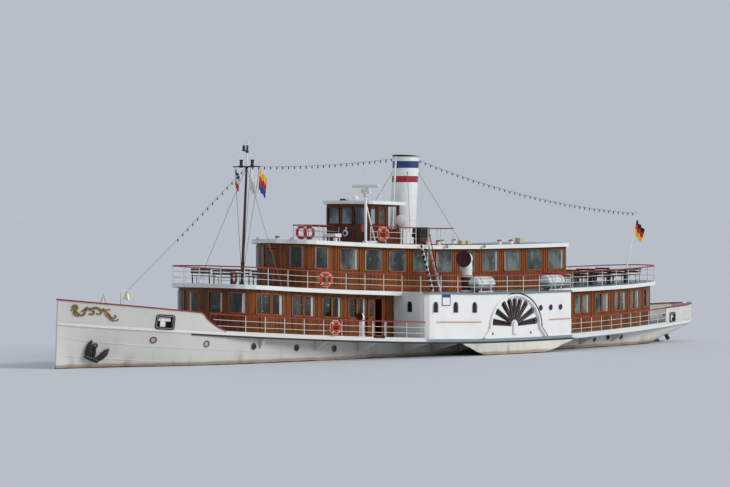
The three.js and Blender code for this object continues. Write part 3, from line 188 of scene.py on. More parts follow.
# Station, half-breadth of the guard that carries the main rail
GUARD = [
    (19.3, 2.72),
    (17, 3.1),
    (12.7, 3.95),
    (6.6, 4.9),
    (4.05, 5.42),
    (-8.1, 5.42),
    (-11.7, 4.6),
    (-16.9, 3.4),
    (-20.8, 2.35),
    (-22, 2.02),
]
# Station, height, flare outwards at the top
BOW_BULWARK = [
    (26, 1.12, 0),
    (25.2, 1.1, 0.1),
    (24, 1.08, 0.2),
    (22, 1.03, 0.22),
    (20, 0.97, 0.15),
    (18.5, 0.92, 0.04),
    (18.32, 0.82, 0.03),
    (18.15, 0.64, 0.02),
    (17.85, 0.44, 0.01),
    (17.5, 0.26, 0),
    (17.2, 0.15, 0),
    (16.9, 0.08, 0),
]
STERN_BULWARK = [(-20.9, 0.9, 0), (-22, 0.9, 0), (-24, 0.9, 0.05), (-25.2, 0.9, 0.05), (-25.62, 0.9, 0.03)]


def lean(a: float, z: float) -> float:
    """The station shifted by the lean of the stem."""
    t = min(max((a - 24) / 2, 0), 1)
    return a - 0.045 * z * t * t * (3 - 2 * t)


def hull_half(a: float, share: float) -> float:
    """Half-breadth of the hull at a station and a share of its height, straight along the after deck.

    Args:
        a: Station.
        share: Share of the height, 0 at the keel and 1 at the deck.

    Returns:
        The half-breadth.
    """
    _, half, _, *shares = eased(HULL_LINES, a)
    part = eased(list(zip(reversed(HULL_SHARES), reversed([*shares, 1.0]))), share)[1]
    t = max((share - 0.7) / 0.3, 0) if a < 0 else 0
    return part * (half + (between(HULL_LINES, a)[1] - half) * t * t * (3 - 2 * t))


def on_hull(a: float, z: float, off: float = 0.0) -> Vector:
    """A point on the hull's port side.

    Args:
        a: Station.
        z: Height over the waterline.
        off: Distance out of the plating.

    Returns:
        The point, in metres of the full-size ship.
    """
    bottom, top = eased(HULL_LINES, a)[2], sheer(a) - DECK_PLATE
    share = min(max((z - bottom) / (top - bottom), 0), 1)
    return Vector((lean(a, z), hull_half(a, share) + off, z))


def on_bulwark(table: Table, a: float, height: float, off: float = 0.0) -> Vector:
    """A point on the outside of a port bulwark, at a height over the deck.

    Args:
        table: The bulwark's rows of station, height and flare.
        a: Station.
        height: Height over the deck.
        off: Distance off the plating.

    Returns:
        The point.
    """
    read = eased if a > 0 else between
    _, tall, flare = read(table, a)
    half = read(HULL_LINES, a)[1] + flare * height / tall
    z = sheer(a) + height
    shift = lean(a, z) if a > 0 else a
    return Vector((shift, half + off, z))


def guard_half(a: float) -> float:
    """Half-breadth of the guard at a station."""
    return between(GUARD, a)[1]


class Link:
    """A shader socket that Python's operators can do arithmetic on."""

    def __init__(self, graph: "Graph", socket: bpy.types.NodeSocket) -> None:
        """Keep the socket and the graph that it belongs to."""
        self.graph = graph
        self.socket = socket

    def _maths(self, operation: str, first: "Value", second: "Value") -> "Link":
        """Add one Math node."""
        return self.graph.node("ShaderNodeMath", {"operation": operation}, {0: first, 1: second})

    def __add__(self, other: "Value") -> "Link":
        """Sum."""
        return self._maths("ADD", self, other)

    __radd__ = __add__

    def __sub__(self, other: "Value") -> "Link":
        """Difference."""
        return self._maths("SUBTRACT", self, other)

    def __rsub__(self, other: "Value") -> "Link":
        """Difference, the other way round."""
        return self._maths("SUBTRACT", other, self)

    def __mul__(self, other: "Value") -> "Link":
        """Product."""
        return self._maths("MULTIPLY", self, other)

    __rmul__ = __mul__

    def __truediv__(self, other: "Value") -> "Link":
        """Quotient."""
        return self._maths("DIVIDE", self, other)

    def __pow__(self, other: "Value") -> "Link":
        """Power."""
        return self._maths("POWER", self, other)

    def __abs__(self) -> "Link":
        """Size without its sign."""
        return self._maths("ABSOLUTE", self, 0.0)

    def floor(self) -> "Link":
        """The whole number below."""
        return self._maths("FLOOR", self, 0.0)

    def share(self) -> "Link":
        """What is left over the whole number below."""
        return self._maths("FRACT", self, 0.0)

    def at_least(self, least: float) -> "Link":
        """The value, or the least one."""
        return self._maths("MAXIMUM", self, least)

    def over(self, start: float, end: float) -> "Link":
        """Smooth step from 0 at start to 1 at end.

        Args:
            start: Value that gives 0.
            end: Value that gives 1.

        Returns:
            The step.
        """
        return self.graph.node(
            "ShaderNodeMapRange", {"interpolation_type": "SMOOTHSTEP"}, {0: self, 1: start, 2: end}
        )

    def within(self, low: float, high: float, soft: float) -> "Link":
        """1 from low to high, with soft edges."""
        return self.over(low - soft, low + soft) * (1 - self.over(high - soft, high + soft))


Value = Union[Link, float, Colour, tuple]


class Graph:
    """The node tree of one material, built with Python expressions."""

    def __init__(self, name: str) -> None:
        """Start an empty tree.

        Args:
            name: The material's name.
        """
        self.material = bpy.data.materials.new(name)
        self.material.use_nodes = True
        self.tree = self.material.node_tree
        self.tree.nodes.clear()
        self.object = self.node("ShaderNodeTexCoord", output="Object")
        place = self.node("ShaderNodeSeparateXYZ", {}, {0: self.object})
        outputs = place.socket.node.outputs
        self.a, self.b, self.z = (Link(self, outputs[i]) * (1 / MODEL_SCALE) for i in range(3))

    def node(
        self,
        kind: str,
        settings: Optional[dict] = None,
        sockets: Optional[dict] = None,
        output: Union[int, str] = 0,
    ) -> Link:
        """Add a node.

        Args:
            kind: The node's type.
            settings: Its properties, set before its sockets.
            sockets: Values or links for its inputs, by name or number.
            output: The output wanted.

        Returns:
            That output as a link.
        """
        made = self.tree.nodes.new(kind)
        for key, value in (settings or {}).items():
            setattr(made, key, value)
        for key, value in (sockets or {}).items():
            if isinstance(value, Link):
                self.tree.links.new(value.socket, made.inputs[key])
            else:
                made.inputs[key].default_value = value
        return Link(self, made.outputs[output])

    def noise(self, scale: float, detail: float = 3.0, stretch: Point = (1, 1, 1)) -> Link:
        """Cloudy noise, with a scale per full-size metre in each direction.

        Args:
            scale: Clouds per metre.
            detail: Octaves of detail.
            stretch: Factor in each direction.

        Returns:
            The noise, 0 to 1.
        """
        factors = tuple(scale * s / MODEL_SCALE for s in stretch)
        place = self.node("ShaderNodeVectorMath", {"operation": "MULTIPLY"}, {0: self.object, 1: factors})
        return self.node("ShaderNodeTexNoise", {}, {"Vector": place, "Scale": 1.0, "Detail": detail})

    def random(self, seed: Link) -> Link:
        """A random share for each value of the seed."""
        return self.node("ShaderNodeTexWhiteNoise", {"noise_dimensions": "1D"}, {"W": seed})

    def mix(self, share: Value, one: Value, other: Value) -> Link:
        """Blend two colours."""
        return self.node("ShaderNodeMix", {"data_type": "RGBA"}, {0: share, 6: one, 7: other}, 2)

    def facing_up(self) -> Link:
        """1 on faces that look up.

        Returns:
            The share.
        """
        normal = self.node("ShaderNodeNewGeometry", output="Normal")
        upward = self.node("ShaderNodeSeparateXYZ", {}, {0: normal}, 2)
        return upward.over(0.6, 0.8)

    def over_deck(self) -> Link:
        """Height over the main deck, on the smooth sheer curve.

        Returns:
            The height.
        """
        fore = ((self.a + 2).at_least(0.0) / 27.8) ** 1.6
        aft = ((-2 - self.a).at_least(0.0) / 23.8) ** 2
        return self.z - fore * 1.45 - aft * 0.5 - 0.9

    def done(
        self, colour: Value, roughness: Value, height: Link, **fixed: float
    ) -> bpy.types.Material:
        """Close the tree with a surface shader.

        Args:
            colour: Base colour.
            roughness: Roughness.
            height: Height for the bump, in parts of its depth.
            fixed: Constants, with underscores for the spaces in their sockets' names.

        Returns:
            The finished material.
        """
        bump = {"Height": height, "Strength": 1.0, "Distance": fixed.pop("depth")}
        normal = self.node("ShaderNodeBump", {}, bump)
        sockets = {"Base Color": colour, "Roughness": roughness, "Normal": normal}
        for key, value in fixed.items():
            sockets[key.replace("_", " ")] = value
        shader = self.node("ShaderNodeBsdfPrincipled", {}, sockets)
        surface = self.tree.nodes.new("ShaderNodeOutputMaterial")
        self.tree.links.new(shader.socket, surface.inputs["Surface"])
        return self.material


@dataclass(frozen=True)
class Paint:
    """A coat of paint with soft dirt and a faint unevenness."""

    name: str
    colour: str
    slot: str
    roughness: float = 0.42
    dirt: str = "#8F8C80"
    dirt_share: float = 0.16
    metal: float = 0.0
    depth: float = 0.0012
    cloud: float = 0.9
    gloss: float = 0.5

    def tone(self, graph: Graph) -> Link:
        """The base colour over the surface."""
        clouds = graph.noise(self.cloud, 5.0, (1, 1, 0.5)).over(0.45, 0.85)
        return graph.mix(clouds * self.dirt_share, rgb(self.colour), rgb(self.dirt))

    def height(self, graph: Graph) -> Link:
        """The bump over the surface."""
        return graph.noise(5.0, 3.0)

    def sheen(self, graph: Graph) -> Link:
        """The roughness over the surface."""
        return graph.noise(2.2, 3.0) * 0.14 + (self.roughness - 0.07)

    def material(self) -> bpy.types.Material:
        """The material, made once.

        Returns:
            The material.
        """
        found = bpy.data.materials.get(self.name)
        if found:
            return found
        graph = Graph(self.name)
        extra = {"Metallic": self.metal, "Specular_IOR_Level": self.gloss, "depth": self.depth}
        return graph.done(self.tone(graph), self.sheen(graph), self.height(graph), **extra)


@dataclass(frozen=True)
class HullPaint(Paint):
    """White topsides with painted shade amidships under the guard, stains near the water and a dark red
    boot-top.
    """

    boot: str = "#4A1F1A"

    def tone(self, graph: Graph) -> Link:
        """White, greyed amidships as painted shade under the guard, stained brown over the waterline, red
        under it.

        Args:
            graph: The tree that it's added to.

        Returns:
            The colour.
        """
        # Painted shade of the guard: the white turns grey from station 0 to 8, fading out towards 23 and
        # towards -6
        guard_shade_mask = (1 - graph.a.over(8.0, 23.0)) * graph.a.over(-6.0, 0.0)
        guard_shaded_white = graph.mix(guard_shade_mask * 0.3, Paint.tone(self, graph), rgb("#8B908C"))
        runs = graph.noise(1.0, 6.0, (1.6, 1.6, 0.22)).over(0.5, 0.78)
        low = 1 - graph.z.over(0.0, 1.1)
        streaked = graph.mix(runs * low * 0.55, guard_shaded_white, rgb("#8B7350"))
        edge = graph.z + (graph.noise(0.7, 3.0) - 0.5) * 0.16
        tide = edge.within(0.02, 0.2, 0.07)
        stained = graph.mix(tide * 0.75, streaked, rgb("#8A6E4A"))
        under = 1 - edge.over(0.03, 0.07)
        return graph.mix(under, stained, rgb(self.boot))

    def height(self, graph: Graph) -> Link:
        """Plates that dent a little between the frames."""
        return graph.noise(0.8, 2.0) * 3 + graph.noise(5.0, 3.0) * 0.4


@dataclass(frozen=True)
class DeckPaint(Paint):
    """A white deck edge with a grey-blue deck on top, and a grey edge over the paddle boxes."""

    top: str = "#7E8D96"
    edge: str = "#75838A"

    def tone(self, graph: Graph) -> Link:
        """Grey-blue where the surface looks up or lies over a paddle box."""
        side = graph.mix(abs(graph.b).over(5.1, 5.15), Paint.tone(self, graph), rgb(self.edge))
        return graph.mix(graph.facing_up(), side, rgb(self.top))


@dataclass(frozen=True)
class GuardPaint(Paint):
    """The main deck: a band that is white forward and grey-blue aft, a black line, pale brackets."""

    white: str = "#DEDFDB"

    def tone(self, graph: Graph) -> Link:
        """Bands by height under the deck.

        Args:
            graph: The tree that it's added to.

        Returns:
            The colour.
        """
        height = graph.over_deck()
        side = 1 - graph.facing_up()
        under = 1 - height.over(-0.245, -0.235)
        aft = 1 - graph.a.over(-8.35, -8.15)
        white = (graph.a.over(3.9, 4.3) + aft * height.over(-0.2, -0.19)) * side
        band = graph.mix(white, Paint.tone(self, graph), rgb(self.white))
        line = height.within(-0.26, -0.14, 0.006) * graph.a.over(-9.0, -8.0) * (1 - graph.a.over(19.2, 19.4))
        lined = graph.mix(line * side, band, rgb("#1E2022"))
        return graph.mix(under, lined, rgb("#C9CCC6"))


@dataclass(frozen=True)
class BandedPaint(Paint):
    """A paint with bands at heights over the waterline, on a raked funnel."""

    rim: float = 11.2
    bands: tuple[tuple[float, float, str], ...] = ()

    def tone(self, graph: Graph) -> Link:
        """White with coloured bands and a little soot.

        Args:
            graph: The tree that it's added to.

        Returns:
            The colour.
        """
        colour: Value = Paint.tone(self, graph)
        depth = self.rim - graph.z
        for low, high, code in self.bands:
            colour = graph.mix(depth.within(low, high, 0.01), colour, rgb(code))
        soot = (1 - depth.over(0.0, 0.5)) * graph.noise(1.5, 4.0).over(0.4, 0.8)
        return graph.mix(soot * 0.35, colour, rgb("#2A2826"))


@dataclass(frozen=True)
class Varnish(Paint):
    """Varnished boards that run upright, each a little different."""

    dark: str = "#4A2410"
    pitch: float = 0.14

    def boards(self, graph: Graph) -> Link:
        """Distance along the wall, in boards."""
        return (graph.a - abs(graph.b)) / self.pitch

    def tone(self, graph: Graph) -> Link:
        """Boards, grain and dark joints.

        Args:
            graph: The tree that it's added to.

        Returns:
            The colour.
        """
        place = self.boards(graph)
        each = graph.random(place.floor())
        fine = graph.noise(6.0, 5.0, (2, 2, 0.14))
        tint = graph.mix(each * 0.55 + fine.over(0.3, 0.75) * 0.45, rgb(self.dark), rgb(self.colour))
        joint = abs(place.share() - 0.5).over(0.44, 0.49)
        worn = graph.noise(0.6, 3.0).over(0.5, 0.8)
        aged = graph.mix(worn * 0.25, tint, rgb(self.dark))
        return graph.mix(joint * 0.7, aged, rgb("#2A140A"))

    def height(self, graph: Graph) -> Link:
        """Joints sink between the boards."""
        joint = abs(self.boards(graph).share() - 0.5).over(0.43, 0.5)
        return graph.noise(6.0, 3.0, (2, 2, 0.2)) * 0.2 - joint


@dataclass(frozen=True)
class Glass(Paint):
    """Window glass, a little see-through, with cloudy pale patches painted on as reflections, and painted
    glints where asked.
    """

    see: float = 0.55
    painted_glint: float = 0.0

    def material(self) -> bpy.types.Material:
        """The material, made once.

        Returns:
            The material.
        """
        found = bpy.data.materials.get(self.name)
        if found:
            return found
        graph = Graph(self.name)
        # Painted reflection: cloudy paler patches in the dirt colour
        shapes = graph.noise(0.9, 4.0, (1, 1, 0.6)).over(0.38, 0.68)
        tone = graph.mix(shapes, rgb(self.colour), rgb(self.dirt))
        # Painted glints: small pale spots of reflected light
        if self.painted_glint:
            tone = graph.mix(graph.noise(5.0, 2.0).over(0.68, 0.74) * self.painted_glint, tone, rgb("#C8CCCA"))
        rough = graph.noise(1.0, 2.0) * 0.05 + self.roughness
        return graph.done(tone, rough, graph.noise(1.2, 1.0), depth=0.004, Alpha=self.see)


@dataclass(frozen=True)
class Curtain(Paint):
    """Pale cloth behind glass, its upright folds painted on as light and shade."""

    def tone(self, graph: Graph) -> Link:
        """Light and shade of the folds.

        Args:
            graph: The tree that it's added to.

        Returns:
            The colour.
        """
        along = (graph.a - abs(graph.b)) * 9.0 + graph.noise(1.4, 2.0) * 2.0
        folds = abs(along.share() - 0.5) * 2.0
        return graph.mix(folds * 0.6, rgb(self.colour), rgb(self.dirt))


@dataclass(frozen=True)
class Cloth(Paint):
    """Woven cloth."""

    def height(self, graph: Graph) -> Link:
        """A fine weave."""
        return graph.noise(60.0, 1.0)


@dataclass(frozen=True)
class Canister(Paint):
    """A white moulded shell, with painted shade under its joint."""

    joint: float = 0.46

    def tone(self, graph: Graph) -> Link:
        """Painted shade below the joint, with stains above it.

        Args:
            graph: The tree that it's added to.

        Returns:
            The colour.
        """
        height = graph.over_deck() - PROMENADE
        # Painted shade: grey below the shell's joint, where the upper half shades it
        shade = 1 - height.over(self.joint - 0.03, self.joint + 0.01)
        return graph.mix(shade, Paint.tone(self, graph), rgb("#7C8184"))


HULL_WHITE = HullPaint("hull_white", "#D5D3CA", "hull_paint", 0.38, dirt_share=0.22)
TRIM_WHITE = Paint("trim_white", "#E4E5E0", "house_paint", 0.4, dirt_share=0.12)
HOUSE_WHITE = Paint("house_white", "#EDEDE8", "house_paint", 0.42, dirt_share=0.12)
DECK_EDGE = DeckPaint("deck_edge_white", "#EDEDE8", "house_paint", 0.45)
CREAM = HullPaint("splash_cream", "#E3DFD0", "cream_paint", 0.45, dirt="#A08850", dirt_share=0.35)
CABIN_WOOD = Varnish("cabin_varnish", "#98521A", "varnished_wood", 0.4, dark="#4E240A", gloss=0.28)
BRIDGE_WOOD = Varnish("bridge_varnish", "#6E3A18", "dark_wood", 0.4, dark="#431D0C", pitch=0.12, gloss=0.3)
FRAME_WOOD = Paint(
    "frame_varnish", "#9C5A22", "varnished_wood", 0.4, dirt="#6A3A12", dirt_share=0.6, cloud=3.0, gloss=0.28
)
BATTEN_WOOD = Paint(
    "batten_varnish", "#8A4C1A", "varnished_wood", 0.4, dirt="#4E260F", dirt_share=0.6, cloud=3.0, gloss=0.28
)
BRIDGE_FRAME = Paint(
    "bridge_frame_varnish", "#693418", "dark_wood", 0.4, dirt="#3F1C0E", dirt_share=0.5, gloss=0.3
)
MAST_WOOD = Paint("mast_varnish", "#43201A", "dark_wood", 0.4, dirt="#2A130E", dirt_share=0.5)
GUARD_BLUE = GuardPaint("guard_grey_blue", "#7F8F98", "guard_paint", 0.5, dirt_share=0.25)
# The dirt colour of each glass is the colour of its painted reflection patches
PANE = Glass("window_pane", "#2C3436", "window_glass", 0.06, dirt="#6E7A7C", see=0.4)
HOUSE_PANE = Glass("deckhouse_pane", "#1A1D1C", "window_glass", 0.07, dirt="#4C5350", see=0.82, painted_glint=0.5)
SALOON_PANE = Glass("saloon_pane", "#262B2A", "window_glass", 0.07, dirt="#7F8A88", see=0.84, painted_glint=0.5)
BRIDGE_PANE = Glass("bridge_pane", "#3A4448", "window_glass", 0.06, dirt="#A3B0B4", see=0.84)
BAY_PANE = Glass("bay_pane", "#1A1D1C", "window_glass", 0.07, dirt="#4C5350", see=1.0, painted_glint=0.5)
# The curtain's dirt colour is the painted shade in its folds
CURTAIN = Curtain("window_curtain", "#CFCFC6", "window_glass", 0.12, dirt="#8A8C84")
PALE_EDGE = Paint("pane_edge", "#A9B0AC", "window_glass", 0.15)
DARK_PANE = Glass("dark_pane", "#15191B", "window_glass", 0.08, dirt="#23292C", see=1.0)
BLACK = Paint("black_iron_paint", "#191A1C", "black_iron", 0.5, dirt="#4A4036", dirt_share=0.3, depth=0.003)
RAIL_RED = Paint("handrail_red", "#8E2426", "rail_paint", 0.45, dirt="#B0524C", dirt_share=0.3)
PALE_RED = Paint("wall_rail_red", "#D08A88", "rail_paint", 0.45)
RAIL_WHITE = Paint("rail_white", "#DDDBD2", "rail_paint", 0.45, dirt_share=0.25)
CAP_RED = Paint("bulwark_cap_red", "#8E1626", "rail_paint", 0.4, dirt="#5C0F18", dirt_share=0.3)
RED_OXIDE = Paint("red_oxide", "#5E2320", "red_paint", 0.6, dirt="#3A2A24", dirt_share=0.5)
FAN_RED = Paint("fan_edge_red", "#7A2430", "red_paint", 0.45)
RUST_RIM = Paint("porthole_rim", "#6B2A22", "red_paint", 0.5, dirt="#8A5A40", dirt_share=0.5)
CANISTER = Canister("canister_white", "#E2E2DD", "canister_plastic", 0.4, dirt="#9A9A94", dirt_share=0.3)
STRAP = Paint("strap_grey", "#B4B6B6", "canister_plastic", 0.6)
# Colour of the painted shade line beside the paddle box hood
HOOD_SHADE_LINE = Paint("hood_painted_shade", "#20282B", "house_paint", 0.5)
STEEL = Paint("worn_steel", "#6C6F71", "steel", 0.42, metal=0.8, dirt="#4A3A2E", dirt_share=0.4)
GOLD = Paint("gilding", "#86682C", "steel", 0.42, dirt="#4A3618", dirt_share=0.5, metal=0.3, cloud=5.0)
PALE_GOLD = Paint("bell_gold", "#D8CFB0", "steel", 0.35, metal=0.3)
BUOY_ORANGE = Paint("buoy_orange", "#D5381F", "canister_plastic", 0.5, dirt="#8A2A1C", dirt_share=0.25)
MAROON = Paint("cowl_maroon", "#4E0F1C", "red_paint", 0.55, dirt="#2C0A10", dirt_share=0.5)
FUNNEL_WHITE = BandedPaint(
    "funnel_white", "#EDEDE9", "house_paint", 0.36, rim=11.08,
    bands=((0.31, 0.7, "#1F3D72"), (1.15, 1.5, "#A01C30"), (-0.3, 0.06, "#26282A")),
)
CLOTH_BLACK = Cloth("cloth_black", "#17171A", "flag_cloth", 0.85)
CLOTH_RED = Cloth("cloth_red", "#C21E24", "flag_cloth", 0.85)
CLOTH_GOLD = Cloth("cloth_gold", "#E2B322", "flag_cloth", 0.85)
CLOTH_WHITE = Cloth("cloth_white", "#E4E4E0", "flag_cloth", 0.85)
CLOTH_BLUE = Cloth("cloth_blue", "#24478C", "flag_cloth", 0.85)
COVER = Cloth("cover_black", "#1D1F22", "flag_cloth", 0.7)
BOX_BEIGE = Paint("box_beige", "#CFC6A8", "house_paint", 0.5)
BENCH_WOOD = Paint("bench_wood", "#5A3420", "varnished_wood", 0.5, dirt="#2E1A10", dirt_share=0.6, cloud=4.0)
WIRE = Paint("rigging_wire", "#6E7172", "steel", 0.5)
BULB = Paint("lamp_bulb", "#2E3030", "window_glass", 0.3)


class Form:
    """A mesh in the making, out of closed shapes, in metres of the full-size ship."""

    def __init__(self, finish: Paint) -> None:
        """Start empty, with a first finish.

        Args:
            finish: The finish of its first shapes.
        """
        self.mesh = bmesh.new()
        self.finishes: list[Paint] = []
        self.current = 0
        self.use(finish)

    def use(self, finish: Paint) -> "Form":
        """Give the next shapes this finish.

        Args:
            finish: The finish.

        Returns:
            This form.
        """
        if finish not in self.finishes:
            self.finishes.append(finish)
        self.current = self.finishes.index(finish)
        return self

    def take(self, part: bmesh.types.BMesh, keep: bool = False) -> "Form":
        """Add a shape, with the finish in use and its faces turned outwards.

        Args:
            part: The shape's own mesh, which is freed.
            keep: Whether its faces keep the finishes that they have.

        Returns:
            This form.
        """
        bmesh.ops.recalc_face_normals(part, faces=part.faces[:])
        for face in part.faces:
            face.material_index = face.material_index if keep else self.current
            face.smooth = True
        holder = bpy.data.meshes.new("shape")
        part.to_mesh(holder)
        self.mesh.from_mesh(holder)
        bpy.data.meshes.remove(holder)
        part.free()
        return self

    def rod(
        self, start: Point, end: Point, radius: float, sides: int = 8, far: Optional[float] = None
    ) -> "Form":
        """A round bar from one point to another, with its radius at each end.

        Args:
            start: Middle of its first end.
            end: Middle of its last end.
            radius: Radius at the first end.
            sides: Number of flats.
            far: Radius at the last end, if it's another.

        Returns:
            This form.
        """
        start, end = Vector(start), Vector(end)
        reach = end - start
        turn = UP.rotation_difference(reach.normalized()).to_matrix().to_4x4()
        part = bmesh.new()
        bmesh.ops.create_cone(
            part, cap_ends=True, segments=sides, radius1=radius, radius2=radius if far is None else far,
            depth=reach.length, matrix=Matrix.Translation((start + end) / 2) @ turn,
        )
        return self.take(part)

    def post(
        self, foot: Vector, low: float, high: float, radius: float, sides: int = 8,
        far: Optional[float] = None,
    ) -> "Form":
        """An upright round bar between two heights over a point."""
        return self.rod(foot + UP * low, foot + UP * high, radius, sides, far)

    def ball(self, centre: Point, radius: float, squash: float = 1.0, sides: int = 16) -> "Form":
        """A round ball, flattened upright by a factor.

        Args:
            centre: Its middle.
            radius: Its radius.
            squash: The factor.
            sides: Number of steps round it.

        Returns:
            This form.
        """
        part = bmesh.new()
        bmesh.ops.create_uvsphere(part, u_segments=sides, v_segments=max(sides // 2, 4), radius=radius)
        bmesh.ops.scale(part, vec=(1, 1, squash), verts=part.verts[:])
        bmesh.ops.translate(part, vec=Vector(centre), verts=part.verts[:])
        return self.take(part)

    def bar(
        self, start: Point, end: Point, width: float, depth: float, out: Point = (0, 1, 0), bevel: float = 0.0
    ) -> "Form":
        """A flat bar from one point to another.

        Args:
            start: Middle of its first end.
            end: Middle of its last end.
            width: Size across, square to out.
            depth: Size along out.
            out: The direction that its depth looks along.
            bevel: Width of the bevel on its edges.

        Returns:
            This form.
        """
        start, end = Vector(start), Vector(end)
        along = end - start
        run = along.normalized()
        outer = (Vector(out) - run * run.dot(Vector(out))).normalized()
        across = outer.cross(run)
        columns = Matrix((along, across * width, outer * depth)).transposed().to_4x4()
        part = bmesh.new()
        bmesh.ops.create_cube(part, size=1.0, matrix=Matrix.Translation((start + end) / 2) @ columns)
        return self.bevelled(part, bevel)

    def bevelled(self, part: bmesh.types.BMesh, width: float) -> "Form":
        """Add a shape, with bevels of a width on its edges if that isn't 0.

        Args:
            part: The shape.
            width: Width of the bevels.

        Returns:
            This form.
        """
        if width:
            bmesh.ops.bevel(
                part, geom=part.edges[:], offset=width, affect="EDGES", segments=1, profile=0.5, material=-1
            )
        return self.take(part)

    def block(self, low: Point, high: Point, bevel: float = 0.0) -> "Form":
        """A block between two corners, its heights over the main deck at its middle.

        Args:
            low: The lower corner.
            high: The upper corner.
            bevel: Width of its bevels.

        Returns:
            This form.
        """
        middle = (low[1] + high[1]) / 2
        z = (low[2] + high[2]) / 2 + sheer((low[0] + high[0]) / 2)
        ends = ((low[0], middle, z), (high[0], middle, z))
        return self.bar(*ends, high[1] - low[1], high[2] - low[2], UP, bevel)

    def spun(
        self, profile: Sequence[Point], centre: Point, axis: Point = (0, 0, 1), sides: int = 32
    ) -> "Form":
        """A profile of radius and height turned about an axis.

        Args:
            profile: Pairs of radius and distance along the axis, from axis to axis or in a closed loop.
            centre: A point on the axis, where that distance is 0.
            axis: The axis's direction.
            sides: Number of steps round it.

        Returns:
            This form.
        """
        part = bmesh.new()
        corners = [part.verts.new((max(r, 0.0), 0, h)) for r, h in profile]
        edges = [part.edges.new(pair) for pair in zip(corners, corners[1:])]
        if min(r for r, _ in profile) > 1e-6:
            edges.append(part.edges.new((corners[-1], corners[0])))
        bmesh.ops.spin(
            part, geom=[*corners, *edges], cent=(0, 0, 0), axis=(0, 0, 1), angle=2 * math.pi, steps=sides,
            use_merge=True,
        )
        bmesh.ops.remove_doubles(part, verts=part.verts[:], dist=1e-5)
        turn = UP.rotation_difference(Vector(axis).normalized()).to_matrix().to_4x4()
        bmesh.ops.transform(part, matrix=Matrix.Translation(Vector(centre)) @ turn, verts=part.verts[:])
        return self.take(part)

    def ring(
        self, centre: Point, axis: Point, radius: float, thick: float, sides: int = 28, round_sides: int = 8
    ) -> "Form":
        """A round ring about an axis."""
        return self.spun(arc((radius, 0), thick, 0, 360, round_sides)[:-1], centre, axis, sides)

    def swept(
        self, path: Sequence[Point], section: Outline, closed: bool = False, up: Point = UP,
        taper: Taper = None,
    ) -> "Form":
        """A section carried along a path.

        Args:
            path: The points that it follows.
            section: Pairs of distance aside and upwards.
            closed: Whether the path comes back to its start.
            up: The direction that the section's height looks along.
            taper: The section's size by the share of the path, or nothing.

        Returns:
            This form.
        """
        points = [Vector(p) for p in path]
        count = len(points)
        rings = []
        for i, here in enumerate(points):
            before = points[i - 1] if i or closed else here
            after = points[(i + 1) % count] if i + 1 < count or closed else here
            run = (after - before).normalized()
            aside = run.cross(Vector(up)).normalized()
            top = aside.cross(run).normalized()
            size = taper(i / max(count - 1, 1)) if taper else 1.0
            rings.append([here + aside * u * size + top * v * size for u, v in section])
        return self.lofted(rings, closed)

    def lofted(self, rings: Sequence[Sequence[Point]], closed: bool = False) -> "Form":
        """A skin over rings of points, closed at its ends or round on itself.

        Args:
            rings: Rings with as many points each.
            closed: Whether it's round on itself.

        Returns:
            This form.
        """
        part = bmesh.new()
        loops = [[part.verts.new(Vector(p)) for p in ring] for ring in rings]
        edges = [[part.edges.new(pair) for pair in zip(loop, [*loop[1:], loop[0]])] for loop in loops]
        pairs = list(zip(edges, edges[1:])) + ([(edges[-1], edges[0])] if closed else [])
        for one, other in pairs:
            bmesh.ops.bridge_loops(part, edges=one + other)
        if not closed:
            bmesh.ops.contextual_create(part, geom=loops[0])
            bmesh.ops.contextual_create(part, geom=loops[-1])
        return self.take(part)

    def tube(
        self, path: Sequence[Point], radius: float, sides: int = 6, closed: bool = False, up: Point = UP,
        taper: Taper = None,
    ) -> "Form":
        """A round tube along a path."""
        half = 180 / sides
        return self.swept(path, arc((0, 0), radius, half, half + 360, sides)[:-1], closed, up, taper)

    def plate(self, outline: Sequence[Point], thick: Point, bevel: float = 0.0) -> "Form":
        """A flat outline given a thickness along a direction.

        Args:
            outline: Its corners.
            thick: The thickness as a step aside.
            bevel: Width of its bevels.

        Returns:
            This form.
        """
        part = bmesh.new()
        face = part.faces.new([part.verts.new(Vector(p)) for p in outline])
        made = bmesh.ops.extrude_face_region(part, geom=[face])["geom"]
        moved = [v for v in made if isinstance(v, bmesh.types.BMVert)]
        bmesh.ops.translate(part, vec=Vector(thick), verts=moved)
        return self.bevelled(part, bevel)

    def both_sides(self) -> "Form":
        """Add a mirror image on the starboard side.

        Returns:
            This form.
        """
        everything = self.mesh.verts[:] + self.mesh.edges[:] + self.mesh.faces[:]
        copied = bmesh.ops.duplicate(self.mesh, geom=everything)["geom"]
        verts = [v for v in copied if isinstance(v, bmesh.types.BMVert)]
        bmesh.ops.scale(self.mesh, vec=(1, -1, 1), verts=verts)
        bmesh.ops.reverse_faces(self.mesh, faces=[f for f in copied if isinstance(f, bmesh.types.BMFace)])
        return self

    def piece(
        self, name: str, body: str = "ship", stands_for: Sequence[str] = (), crease: float = 35.0
    ) -> bpy.types.Object:
        """Finish the form at model size and hang it on its body.

        Args:
            name: The piece's name.
            body: The frame's body that it rides on.
            stands_for: Frame nodes that it replaces.
            crease: The angle in degrees past which an edge stays sharp.

        Returns:
            The finished piece.
        """
        bmesh.ops.scale(self.mesh, vec=(MODEL_SCALE,) * 3, verts=self.mesh.verts[:])
        data = bpy.data.meshes.new(name)
        self.mesh.to_mesh(data)
        self.mesh.free()
        data.set_sharp_from_angle(angle=math.radians(crease))
        for finish in self.finishes:
            data.materials.append(finish.material())
        made = bpy.data.objects.new(name, data)
        bpy.context.scene.collection.objects.link(made)
        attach(made, body)
        if stands_for:
            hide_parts(*stands_for)
        LOG.info("%s: %d faces on %s", name, len(data.polygons), body)
        return made


